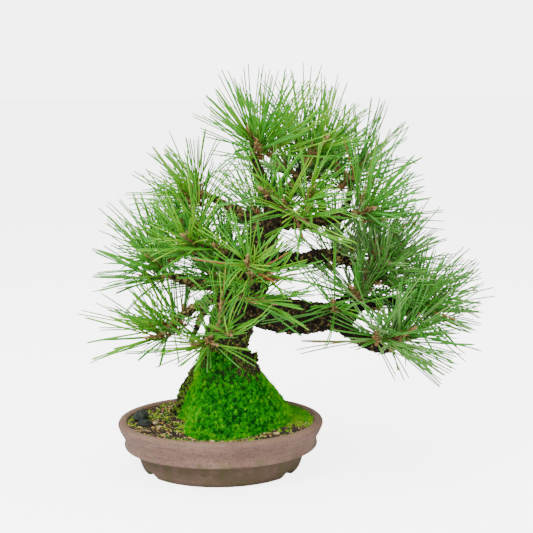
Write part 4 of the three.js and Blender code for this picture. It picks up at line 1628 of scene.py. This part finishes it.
    def sheaths(self, paths: Array) -> Shape:
        """Makes the short papery sheath at the root of each needle pair."""
        start, ahead = paths[:, 0], unit(paths[:, 1] - paths[:, 0])
        return self.blades(np.stack([start + ahead * at for at in self.sheath_at], 1), self.sheath_radius)

    @staticmethod
    def twig_shape(shoot: Shoot, numbers: Generator) -> Shape:
        """Makes a twig, rough with the scars of old needles.

        Args:
            shoot: the shoot that it carries.
            numbers: the shoot's random numbers.

        Returns:
            The closed twig.
        """
        line = shoot.line
        count = max(6, round(float(np.linalg.norm(line.point(1) - line.point(0))) / 1.6))
        shares = np.linspace(0, 1, count)
        rings = rings_along(line, shares, 8, lambda share: blend(*shoot.radii, share))
        rough = 1 + numbers.uniform(-0.16, 0.3, (count, 8))
        middles = [ring.mean(0) for ring in rings]
        rings = [m + (ring - m) * r[:, None] for ring, m, r in zip(rings, middles, rough)]
        end = shoot.tip()
        for forward, radius in ((4, 1.0), (9, 0.8)):
            ring = rings[-1] - rings[-1].mean(0)
            flat = ring - np.outer(ring @ shoot.aim, shoot.aim)
            rings.append(end + shoot.aim * forward + unit(flat) * shoot.radii[1] * radius)
        return loft(rings)

    def bud_shapes(self, shoot: Shoot, numbers: Generator) -> list[Shape]:
        """Makes the pointed bud at the end of a shoot, and smaller ones round it.

        Args:
            shoot: the shoot.
            numbers: its random numbers.

        Returns:
            The buds.
        """
        shapes = []
        end = shoot.tip() + shoot.aim * 8
        kind = 1 if shoot.pairs <= self.spur_pairs else 0
        plan = [(shoot.aim, 1.0)]
        for _ in range((3, 1)[kind]):
            plan.append((unit(shoot.aim + 0.8 * unit(numbers.normal(0, 1, 3))), self.side_bud))
        for way, size in plan:
            length = self.bud_lengths[kind] * size * numbers.uniform(0.85, 1.15)
            radius = self.bud_radii[kind] * size
            rings = []
            for forward, wide in BUD_PROFILE:
                turn = spokes(round_angles(7) + forward * 2, *side_frame(way))
                rings.append(end + way * forward * length + turn * wide * radius)
            shapes.append(loft(rings, (end, end + way * length)))
        return shapes


@dataclass
class Pot:
    """The round clay pot, turned, with its three arched foot notches."""

    sides: int = 180
    foot_radius: float = 77.5
    foot_top_radius: float = 86.5
    foot_inner_radius: float = 66.0
    underside: float = 4.6
    band_height: float = 24.1
    band_radius: float = 99.0
    neck_radius: float = 98.2
    neck_height: float = 32.3
    rim_radius: float = 105.2
    rim_height: float = 47.4
    top_height: float = 51.6
    lip_radius: float = 95.6
    floor_radius: float = 78.0
    floor_height: float = 11.0
    drain_radius: float = 7.0
    notch_width: float = 18.0
    notch_height: float = 4.2
    notch_angles: Triple = (-30.0, -150.0, 90.0)
    widest_turn: float = 60.0
    arch_depth: float = 4.5
    arch_top: float = 9.0
    sway: float = 0.35

    def profile(self) -> Array:
        """Gives radius and height of places round the section, from the drain hole outwards and up.

        Returns:
            A row for each place.
        """
        places: list[Pair] = [(self.drain_radius, self.underside)]

        def line_to(radius: float, height: float, steps: int) -> None:
            """Goes straight on to a place."""
            r0, z0 = places[-1]
            for share in np.linspace(0, 1, steps + 1)[1:]:
                places.append((blend(r0, radius, share), blend(z0, height, share)))

        def curve_to(r1: float, z1: float, r2: float, z2: float, steps: int = 6) -> None:
            """Bends to the second place round the first."""
            r0, z0 = places[-1]
            for s in np.linspace(0, 1, steps + 1)[1:]:
                t = 1 - s
                radius = t * t * r0 + 2 * s * t * r1 + s * s * r2
                places.append((radius, t * t * z0 + 2 * s * t * z1 + s * s * z2))

        line_to(self.foot_inner_radius - 4, self.underside, 5)
        line_to(self.foot_inner_radius, 0, 3)
        line_to(self.foot_radius, 0, 3)
        curve_to(self.foot_radius + 3, 1.5, self.foot_radius + 4.5, 6)
        curve_to(self.foot_top_radius - 1, 16, self.foot_top_radius, self.band_height, 8)
        line_to(self.band_radius - 2.2, self.band_height, 4)
        curve_to(self.band_radius, self.band_height, self.band_radius, self.band_height + 2.6)
        neck, waist = self.neck_radius, self.neck_height
        curve_to(neck - 0.6, waist - 1, neck + 1.2, waist + 3, 8)
        curve_to(self.rim_radius - 1.6, self.rim_height - 6, self.rim_radius, self.rim_height, 8)
        curve_to(self.rim_radius - 0.8, self.top_height, self.rim_radius - 5, self.top_height)
        curve_to(self.lip_radius + 0.6, self.top_height, self.lip_radius, self.top_height - 3)
        curve_to(self.lip_radius - 5, self.floor_height + 12, self.floor_radius, self.floor_height, 8)
        line_to(self.drain_radius, self.floor_height, 4)
        return np.array(places)

    def lift(self, radius: Array, height: Array, degrees: float) -> Array:
        """Lifts the foot's lower edge into the arches.

        Args:
            radius: radii of the places of the section.
            height: their heights.
            degrees: the direction of the section.

        Returns:
            The heights, raised where an arch is.
        """
        nearest = min(abs(turn_from(centre, degrees)) for centre in self.notch_angles)
        across = radius * math.sin(math.radians(min(nearest, self.widest_turn)))
        arch = self.notch_height * np.sqrt(np.clip(1 - (across / (self.notch_width / 2)) ** 2, 0, 1))
        within = (radius > self.foot_inner_radius - self.arch_depth) & (height < self.arch_top)
        return np.where(within, arch + height * (self.arch_top - arch) / self.arch_top, height)

    def build(self) -> None:
        """Turns the section, with the slight unevenness of a thrown pot."""
        section = self.profile()
        rings = []
        for angle in round_angles(self.sides):
            radius = section[:, 0]
            height = self.lift(radius, section[:, 1], math.degrees(angle))
            x, y = math.cos(angle), math.sin(angle)
            sway = [self.sway * noise.noise(Vector((2 * x, 2 * y, z / 30))) for z in height]
            radius = radius + np.array(sway) * (radius > self.foot_radius)
            rings.append(np.stack([radius * x, radius * y, height], -1))
        grid = np.array(rings)
        count = grid.shape[1]
        side, place = np.meshgrid(np.arange(self.sides), np.arange(count), indexing="ij")
        next_side, next_place = (side + 1) % self.sides, (place + 1) % count
        around = ((side, place), (next_side, place), (next_side, next_place), (side, next_place))
        quads = np.stack([of_side * count + of_place for of_side, of_place in around], -1)
        piece = Shape(grid.reshape(-1, 3), [quads.reshape(-1, 4)]).to_object("clay_pot")
        finish = ClayFinish("unglazed clay", "#71544a", 0.85)
        dressed(piece, finish.material(), "clay", "pot")


class Scatter:
    """Geometry Nodes that scatter one small shape over a surface and end in a plain mesh."""

    def __init__(self, name: str) -> None:
        """Builds the tree, with its sizes as named inputs.

        Args:
            name: the tree's name.
        """
        self.tree = bpy.data.node_groups.new(name, "GeometryNodeTree")
        kit = NodeKit(self.tree)
        sizes = ("Density", "Smallest", "Largest", "Lean", "Patch Low", "Patch High", "Patch Size")
        kinds = {"Small Shape": "Object", "Seed": "Int", "Finish": "Material"}
        take = kit.inputs({**dict.fromkeys(sizes, "Float"), **kinds})
        place = kit.out("GeometryNodeInputPosition")
        scale = kit.math("DIVIDE", 1.0, take["Patch Size"])
        patch = kit.out("ShaderNodeTexNoise", {}, {"Vector": place, "Scale": scale, "Detail": 3.0})
        level = patch + kit.noted(PATCH_BIAS)
        above = kit.math("GREATER_THAN", level, take["Patch Low"])
        below = kit.math("LESS_THAN", level, take["Patch High"])
        sockets = {"Mesh": take["Geometry"], "Selection": above * below, "Seed": take["Seed"]}
        sockets["Density"] = take["Density"]
        spread = kit.node("GeometryNodeDistributePointsOnFaces", {"distribute_method": "RANDOM"}, sockets)
        turn = Signal(kit, spread.outputs["Rotation"])
        sockets = {axis: take["Lean"] for axis in range(3)}
        most = kit.out("ShaderNodeCombineXYZ", {}, sockets)
        low = kit.vector_math("MULTIPLY", (-1.0, -1.0, -3.2), most)
        high = kit.vector_math("MULTIPLY", (1.0, 1.0, 3.2), most)
        sockets = {0: low, 1: high, "Seed": take["Seed"]}
        lean = kit.out("FunctionNodeRandomValue", {"data_type": "FLOAT_VECTOR"}, sockets)
        sockets = {0: turn, 1: kit.out("FunctionNodeEulerToRotation", {}, {0: lean})}
        spin = kit.out("FunctionNodeRotateRotation", {"rotation_space": "LOCAL"}, sockets)
        sockets = {2: take["Smallest"], 3: take["Largest"], "Seed": take["Seed"]}
        size = kit.out("FunctionNodeRandomValue", {"data_type": "FLOAT"}, sockets, 1)
        shape = kit.out("GeometryNodeObjectInfo", {}, {"Object": take["Small Shape"]}, "Geometry")
        points = Signal(kit, spread.outputs["Points"])
        sockets = {"Points": points, "Instance": shape, "Rotation": spin, "Scale": size}
        copies = kit.out("GeometryNodeInstanceOnPoints", {}, sockets)
        real = kit.out("GeometryNodeRealizeInstances", {}, {"Geometry": copies})
        painted = kit.out("GeometryNodeSetMaterial", {}, {"Geometry": real, "Material": take["Finish"]})
        kit.node("NodeGroupOutput", {}, {0: painted})

    def over(
        self, surface: Object, small: Object, name: str, material: Material, **sizes: float
    ) -> Object:
        """Scatters a small shape over a surface.

        Args:
            surface: the object whose faces carry the copies.
            small: the object that is copied.
            name: the new piece's name.
            material: its material.
            sizes: the tree's other inputs, by name with _ for a space.

        Returns:
            A plain mesh object with all the copies.
        """
        piece = placed(name, surface.data.copy())
        given = {"Small Shape": small, "Finish": material}
        given.update({key.replace("_", " ").title(): value for key, value in sizes.items()})
        grown(piece, self.tree, given)
        if PATCH_BIAS in piece.data.attributes:
            forget_bias(piece)
        return piece

    def litter(
        self,
        surface: Object,
        plan: Sequence[tuple],
        gloss: float,
        spots: float,
        shift: int = 0,
        **sizes: float,
    ) -> None:
        """Scatters irregular grains and finishes them.

        Args:
            surface: the object whose faces carry them.
            plan: a row for each piece: name, slot, colour, mottling, three widths, seed, grains to the
                square metre, and the level of the patches from which it grows.
            gloss: the specular level of their finish.
            spots: the size of their mottling in millimetres.
            shift: what the seed of their places is above the seed of their shape.
            sizes: the inputs of over that all rows share.
        """
        for name, slot, colour, mottle, widths, seed, density, low in plan:
            material = StoneFinish(name, colour, 0.92, gloss, mottle, spots).material()
            grain = chip(name + " shape", widths, seed)
            own = {"density": density, "patch_low": low, "patch_high": NO_LIMIT, "seed": seed + shift}
            dressed(self.over(surface, grain, name, material, **own, **sizes), material, slot)

    def leaves(self, surface: Object, leaf: Object, plan: Sequence[tuple], **sizes: float) -> None:
        """Scatters moss leaves and finishes them.

        Args:
            surface: the object whose faces carry them.
            leaf: one leaf.
            plan: a row for each piece: name, colour, the levels of the patches between which it grows,
                seed, and leaves to the square metre.
            sizes: the inputs of over that all rows share.
        """
        for name, colour, low, high, seed, density in plan:
            material = Finish(name, colour, 0.9, gloss=0.12).material()
            own = {"density": density, "patch_low": low, "patch_high": high, "seed": seed}
            dressed(self.over(surface, leaf, name, material, **own, **sizes), material, "moss")


def tuft(name: str, length: float, radius: float) -> Object:
    """Makes one moss leaf: a thin three-sided spike, in metres round the origin.

    Args:
        name: its name.
        length: its length in millimetres.
        radius: the radius of its foot.

    Returns:
        An object that isn't in the scene.
    """
    angles = round_angles(3)
    foot = np.stack([radius * np.cos(angles), radius * np.sin(angles), np.full(3, -0.3)], -1)
    corners = np.concatenate([foot, [[0.25 * length, 0, length]]]) * MM
    mesh = bpy.data.meshes.new(name)
    mesh.from_pydata(corners.tolist(), [], [(0, 1, 3), (1, 2, 3), (2, 0, 3), (2, 1, 0)])
    return bpy.data.objects.new(name, mesh)


def chip(name: str, size: Triple, seed: int) -> Object:
    """Makes one irregular grain in metres round the origin.

    Args:
        name: its name.
        size: its three widths in millimetres.
        seed: what sets its shape.

    Returns:
        An object that isn't in the scene.
    """
    numbers = np.random.default_rng(seed)
    grow = (1 + math.sqrt(5)) / 2
    corners = []
    for a in (-1, 1):
        for b in (-grow, grow):
            corners += [(a, b, 0), (0, a, b), (b, 0, a)]
    points = unit(np.array(corners)) * numbers.uniform(0.72, 1.1, (12, 1)) * np.array(size) / 2 * MM
    mesh = bpy.data.meshes.new(name)
    shell = bpy.data.objects.new(name, mesh)
    work = bmesh.new()
    for point in points:
        work.verts.new(point)
    bmesh.ops.convex_hull(work, input=work.verts)
    work.to_mesh(mesh)
    work.free()
    return shell


@dataclass
class MossMound:
    """The cushion of moss over the roots, with its leaves."""

    ground: Ground
    around: int = 420
    rings: int = 108
    lumps: float = 1.9
    tufts: float = 2.3
    head_size: float = 3.6
    crest: float = 119.0
    peak: Pair = (-98.0, 30.0)
    flank: Pair = (-170.0, 34.0)
    lobe: Pair = (-124.0, 20.0)
    left_edge: Pair = (178.0, 24.0)
    right_edge: Pair = (8.0, 24.0)
    shoulder: float = 1.5
    heads: list[float] = field(default_factory=list)

    def cushion(self) -> Shape:
        """Makes the mound's skin, closed underneath at soil level.

        Returns:
            The closed mound.
        """
        rows = []
        for ring in range(self.rings + 1):
            share = ring / self.rings
            row = []
            for angle in round_angles(self.around):
                reach = self.ground.reach(math.degrees(angle))
                distance = blend(reach + 1.5, self.ground.collar_radius - 7, share)
                x = self.ground.foot[0] + distance * math.cos(angle)
                y = self.ground.foot[1] + distance * math.sin(angle)
                z = self.ground.height(distance, reach) + self.shoulder * math.sin(math.pi * share)
                place = Vector((x, y, z))
                soft = self.lumps * (noise.noise(place / 18) * 2.2 + noise.noise(place / 7) * 0.9)
                head = 0.55 - noise.voronoi(place / self.head_size)[0][0]
                fine = self.tufts * (1.6 * head + 0.6 * noise.noise(place / 1.6))
                edge = min(1.0, share * 7) * min(1.0, (1 - share) * 9)
                crest = self.crest + 7 * noise.noise(Vector((x, y, 0)) / 9)
                self.heads.append(head)
                row.append((x, y, min(z + (soft + fine) * edge - 0.6, crest + 0.8 * fine)))
            rows.append(np.array(row))
        return loft(rows)

    def build(self) -> None:
        """Makes the cushion, and scatters its leaves in four greens and litter where it is bare."""
        cushion = self.cushion().to_object("moss_cushion")
        note_bias(cushion, self.brightness)
        scatter = Scatter("moss leaves")
        # The lighter greens go where the bias is high and carry the painted light on the flanks and dome
        # tops; the deep green carries the painted shade in the pits, besides the random patches.
        greens = (
            ("moss_leaves_deep", "#06500a", -0.5, 0.48, 61, 1.4e6),
            ("moss_leaves_green", "#18ac0e", 0.44, 0.64, 62, 1.75e6),
            ("moss_leaves_light", "#44c012", 0.6, 0.74, 63, 1.9e6),
            ("moss_leaves_lime", "#90d40e", 0.7, NO_LIMIT, 64, 2.1e6),
        )
        leaf = tuft("moss leaf", 2.3, 0.38)
        scatter.leaves(cushion, leaf, greens, smallest=0.7, largest=1.35, lean=0.6, patch_size=0.0032)
        note_bias(cushion, self.bareness)
        crumbs = (
            ("mound_crumbs_dark", "bark", "#1a140c", "#30261a", (3.6, 2.8, 1.6), 65, 0.5e6, 0.5),
            ("mound_crumbs_brown", "bark", "#6a5630", "#3c2f1a", (3.0, 2.4, 1.4), 66, 0.24e6, 0.5),
            ("mound_crumbs_green", "moss", "#6b9c1c", "#3d6c10", (2.4, 2.0, 1.4), 67, 0.36e6, 1.4),
        )
        scatter.litter(cushion, crumbs, 0.25, 2.0, smallest=0.5, largest=1.2, lean=0.6, patch_size=0.008)
        forget_bias(cushion)
        finish = MossFinish("moss cushion", "#0a2a04", 0.95)
        dressed(cushion, finish.material(), "moss", "moss_mound")

    def bareness(self, places: Array) -> Array:
        """Tells where the mound has no leaves but the litter of the bark."""
        return np.where(self.brightness(places) < -1, 1.0, -3.0)

    def brightness(self, places: Array) -> Array:
        """Tells how much lighter the moss is, with painted light and painted shade, and leaves it off the
        bark.

        Args:
            places: corners of the cushion.

        Returns:
            A bias for each of them.
        """
        x, y, z = places.T
        degrees = np.degrees(np.arctan2(y, x - self.ground.foot[0]))

        def facing(centre: float, width: float) -> Array:
            """Gives 1 in one direction from the trunk, and less on either side."""
            return np.exp(-((turn_from(centre, degrees) / width) ** 2))

        # Painted light on the flanks that face left and right and on the lobe to the front left.
        flank = facing(*self.flank)
        lobe = facing(*self.lobe) * np.clip((84 - z) / 16, 0, 1)
        low = np.clip((62 - z) / 14, 0, 1)
        # The last two corners are the middles of the fans that close the cushion.
        heads = np.array([*self.heads, 0.0, 0.0])
        peak = facing(*self.peak)
        speckle = np.array([noise.noise(Vector(place) / 4.5) for place in places])
        edge = facing(*self.left_edge)
        bark = np.clip((z - 82) / 26, 0, 1) * (1 - np.maximum(peak, edge)) + 0.5 * speckle > 0.6
        flank = flank + edge * np.clip((z - 80) / 20, 0, 1) + facing(*self.right_edge)
        # Painted light on the flanks and on the dome tops (heads), painted shade in the pits between them,
        # lighter low down, and no leaves on the bark.
        return 0.17 * flank + 0.09 * lobe + 0.06 * low - 0.06 + 0.5 * heads - 3.0 * bark


@dataclass
class SoilBed:
    """Soil grains, chips and stones between the moss and the pot's lip."""

    ground: Ground
    radius: float = 94.6
    carpet_angle: float = 25.0
    carpet_width: float = 34.0

    def surface(self) -> Object:
        """Makes the disc that the grains lie on.

        Returns:
            The disc, which goes when the grains are there.
        """
        rings = []
        for distance in np.linspace(self.radius, 8, 30):
            angles = round_angles(120)
            x, y = distance * np.cos(angles), distance * np.sin(angles)
            uneven = [0.8 * noise.noise(Vector((a / 14, b / 14, 3.0))) for a, b in zip(x, y)]
            rings.append(np.stack([x, y, self.ground.level - 0.2 + np.array(uneven)], -1))
        piece = skin(rings).to_object("soil disc")
        note_bias(piece, self.openness)
        return piece

    def openness(self, places: Array) -> Array:
        """Tells where soil shows: outside the moss.

        Args:
            places: corners of the disc.

        Returns:
            A bias for each of them.
        """
        values = []
        for place in places:
            dx, dy = place[0] - self.ground.foot[0], place[1] - self.ground.foot[1]
            beyond = math.hypot(dx, dy) - self.ground.reach(math.degrees(math.atan2(dy, dx)))
            values.append(0.0 if beyond > -4 else -3.0)
        return np.array(values)

    def mossiness(self, places: Array) -> Array:
        """Tells where a thin carpet of moss lies on the soil: here and there, and thick at the right.

        Args:
            places: corners of the disc.

        Returns:
            A bias for each of them.
        """
        x, y, _ = places.T
        degrees = np.degrees(np.arctan2(y - self.ground.foot[1], x - self.ground.foot[0]))
        right = np.exp(-(((degrees - self.carpet_angle) / self.carpet_width) ** 2))
        return self.openness(places) - 0.16 + 0.36 * right

    def carpet(self, surface: Object, scatter: Scatter) -> None:
        """Lays the thin carpet of moss.

        Args:
            surface: the disc that the grains lie on.
            scatter: the tree that scattered them.
        """
        note_bias(surface, self.mossiness)
        plan = (
            ("moss_carpet_green", "#36aa14", 0.58, 0.7, 71, 1.5e6),
            ("moss_carpet_light", "#80b80e", 0.48, 0.58, 72, 1.5e6),
            ("moss_carpet_bright", "#6cb60e", 0.7, NO_LIMIT, 73, 1.5e6),
        )
        leaf = tuft("carpet leaf", 3.2, 0.5)
        scatter.leaves(surface, leaf, plan, smallest=0.7, largest=1.3, lean=0.7, patch_size=0.006)

    def build(self) -> None:
        """Scatters the grains and sets the stones."""
        surface = self.surface()
        scatter = Scatter("soil grains")
        plan = (
            ("soil_grains_dark", "soil", "#1c140e", "#3a2a1d", (2.8, 2.4, 2.0), 1, 0.34e6, -1.0),
            ("soil_grains_brown", "soil", "#5a3d24", "#8a6a45", (2.8, 2.4, 2.0), 2, 0.09e6, -1.0),
            ("soil_chips_tan", "soil", "#dcc08a", "#94753e", (4.4, 2.8, 1.5), 3, 0.034e6, 0.42),
            ("soil_chips_ochre", "soil", "#d8a638", "#8a6a24", (3.4, 2.4, 1.6), 4, 0.034e6, 0.4),
            ("moss_crumbs", "moss", "#86c216", "#3f7a0c", (2.2, 2.2, 2.0), 5, 0.26e6, 0.5),
        )
        scatter.litter(surface, plan, 0.5, 2.5, 20, smallest=0.6, largest=1.45, lean=1.0, patch_size=0.02)
        self.carpet(surface, scatter)
        bpy.data.objects.remove(surface)
        soil = frame["nodes"]["soil"]
        soil.data.materials.clear()
        soil.data.materials.append(SoilFinish("damp soil", "#1e1611", 0.95).material())
        self.stones()

    def stones(self) -> None:
        """Sets the two dark stones, the pale chips and the splinter of wood."""
        plan = (
            ("stone_large", "stone", (-82, 3, 53), (15.5, 13, 13.5), "#1f261f", "#3a4434", 20, 11),
            ("stone_small", "stone", (-77, -20, 51), (16, 10, 8.5), "#191d1c", "#2f352e", -12, 12),
            ("stone_pale", "stone", (-66, -14, 50), (7.5, 3.4, 3.2), "#c4ae86", "#8d7b5c", 40, 13),
            ("stone_tan", "stone", (-61, -30, 49.6), (6.5, 3.2, 3), "#c9ab78", "#94794f", -20, 14),
            ("wood_chip", "soil", (-74, -47, 50.2), (12, 3.2, 2.4), "#8a7458", "#5f4b36", -28, 15),
            ("stone_front", "stone", (-6, -88, 49.6), (5, 3, 2.6), "#c3a874", "#a08a5e", 15, 16),
            ("stone_right", "stone", (57, -60, 49.8), (7, 3.4, 2.8), "#d0b27c", "#9b8458", 30, 17),
        )
        for name, slot, centre, size, colour, mottle, turn, seed in plan:
            piece = self.stone(name, centre, size, turn, seed)
            finish = StoneFinish(name.replace("_", " "), colour, 0.8, 0.5, mottle, 5.0)
            nodes = ("stone",) if name == "stone_large" else ()
            dressed(piece, finish.material(), slot, *nodes)

    @staticmethod
    def stone(name: str, centre: Triple, size: Triple, turn: float, seed: int) -> Object:
        """Makes one worn stone that lies in the soil.

        Args:
            name: its name.
            centre: its middle.
            size: its three widths.
            turn: how far it is turned about the upright, in degrees.
            seed: what sets its shape.

        Returns:
            The stone's object.
        """
        spin = Matrix.Rotation(math.radians(turn), 3, "Z")
        rings = []
        for rise in np.linspace(-0.96, 0.96, 13):
            wide = math.sqrt(1 - rise**2)
            ring = []
            for angle in round_angles(24):
                way = Vector((wide * math.cos(angle), wide * math.sin(angle), rise))
                lumps = 0.42 * noise.noise(way * 1.5 + Vector((seed, 0, 0)))
                bulge = 1 + lumps + 0.16 * noise.noise(way * 4)
                flat = Vector((way.x * size[0], way.y * size[1], way.z * size[2])) * 0.5 * bulge
                ring.append(Vector(centre) + spin @ flat)
            rings.append(np.array(ring))
        return loft(rings).to_object(name)


@dataclass
class Studio:
    """Camera, lights, floor and surroundings."""

    eye: Triple = (48.3, -1600.0, 445.8)
    pitch: float = 0.14754
    roll: float = -0.00789
    lens: float = 107.9
    room: float = 0.64
    backdrop: float = 5.6
    floor_glow: float = 4.5
    floor_reach: float = 9000.0
    lit_place: Triple = (50.0, 0.0, 180.0)

    def build(self) -> None:
        """Sets up the studio."""
        self.camera()
        self.floor()
        self.lights()

    def camera(self) -> None:
        """Places the camera at the photograph's viewing angle."""
        data = bpy.data.cameras.new("camera")
        data.lens = self.lens
        data.sensor_width = 36.0
        data.clip_end = 20.0
        camera = placed("camera", data)
        turn = Matrix.Rotation(math.pi / 2 - self.pitch, 4, "X") @ Matrix.Rotation(self.roll, 4, "Z")
        camera.matrix_world = Matrix.Translation(to_frame(self.eye)) @ turn
        bpy.context.scene.camera = camera

    def floor(self) -> None:
        """Lays a pale floor under the pot."""
        signs = np.array([(-1, -1, 0), (1, -1, 0), (1, 1, 0), (-1, 1, 0)])
        flat = Shape(signs * self.floor_reach, [np.array([[0, 1, 2, 3]])])
        floor = flat.to_object("floor", smooth=False)
        floor.data.materials.append(self.bright())

    def bright(self) -> Material:
        """Makes a matt white material that looks as bright as the backdrop.

        Returns:
            The material.
        """
        material = bpy.data.materials.new("pale floor")
        material.use_nodes = True
        kit = NodeKit(material.node_tree)
        seen = kit.out("ShaderNodeLightPath", output="Is Camera Ray")
        matt = kit.out("ShaderNodeBsdfDiffuse", {}, {"Color": (0.85, 0.85, 0.85, 1.0)})
        glow = kit.out("ShaderNodeEmission", {}, {"Color": WHITE, "Strength": seen * self.floor_glow})
        kit.node("ShaderNodeOutputMaterial", {}, {0: kit.out("ShaderNodeAddShader", {}, {0: matt, 1: glow})})
        return material

    def lights(self) -> None:
        """Hangs soft lights in front, at both sides and above, in a white room."""
        world = bpy.data.worlds.new("white room")
        world.use_nodes = True
        kit = NodeKit(world.node_tree)
        seen = kit.out("ShaderNodeLightPath", output="Is Camera Ray")
        room = kit.out("ShaderNodeBackground", {}, {"Color": WHITE, "Strength": self.room})
        backdrop = kit.out("ShaderNodeBackground", {}, {"Color": WHITE, "Strength": self.backdrop})
        mixed = kit.out("ShaderNodeMixShader", {}, {0: seen, 1: room, 2: backdrop})
        kit.node("ShaderNodeOutputWorld", {}, {0: mixed})
        bpy.context.scene.world = world
        plan = (
            ("key light", (-900, -1300, 1500), 0.8, 57.0),
            ("fill light", (1300, -900, 900), 1.2, 15.0),
            ("top light", (100, 100, 1900), 1.1, 34.0),
        )
        for name, place, size, power in plan:
            data = bpy.data.lights.new(name, "AREA")
            data.size = size
            data.energy = power
            light = placed(name, data)
            position = Vector(to_frame(place))
            turn = (Vector(to_frame(self.lit_place)) - position).to_track_quat("-Z", "Y")
            light.matrix_world = Matrix.Translation(position) @ turn.to_matrix().to_4x4()


def main() -> None:
    """Builds the studio and then the plant, piece by piece."""
    logging.basicConfig(level=logging.INFO, format="%(name)s: %(message)s")
    ground = Ground()
    skeleton = Skeleton()
    Studio().build()
    Pot().build()
    SoilBed(ground).build()
    MossMound(ground).build()
    Bark(ground, skeleton).build()
    Foliage(ground, skeleton).build()
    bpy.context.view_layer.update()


if __name__ == "__main__":
    main()
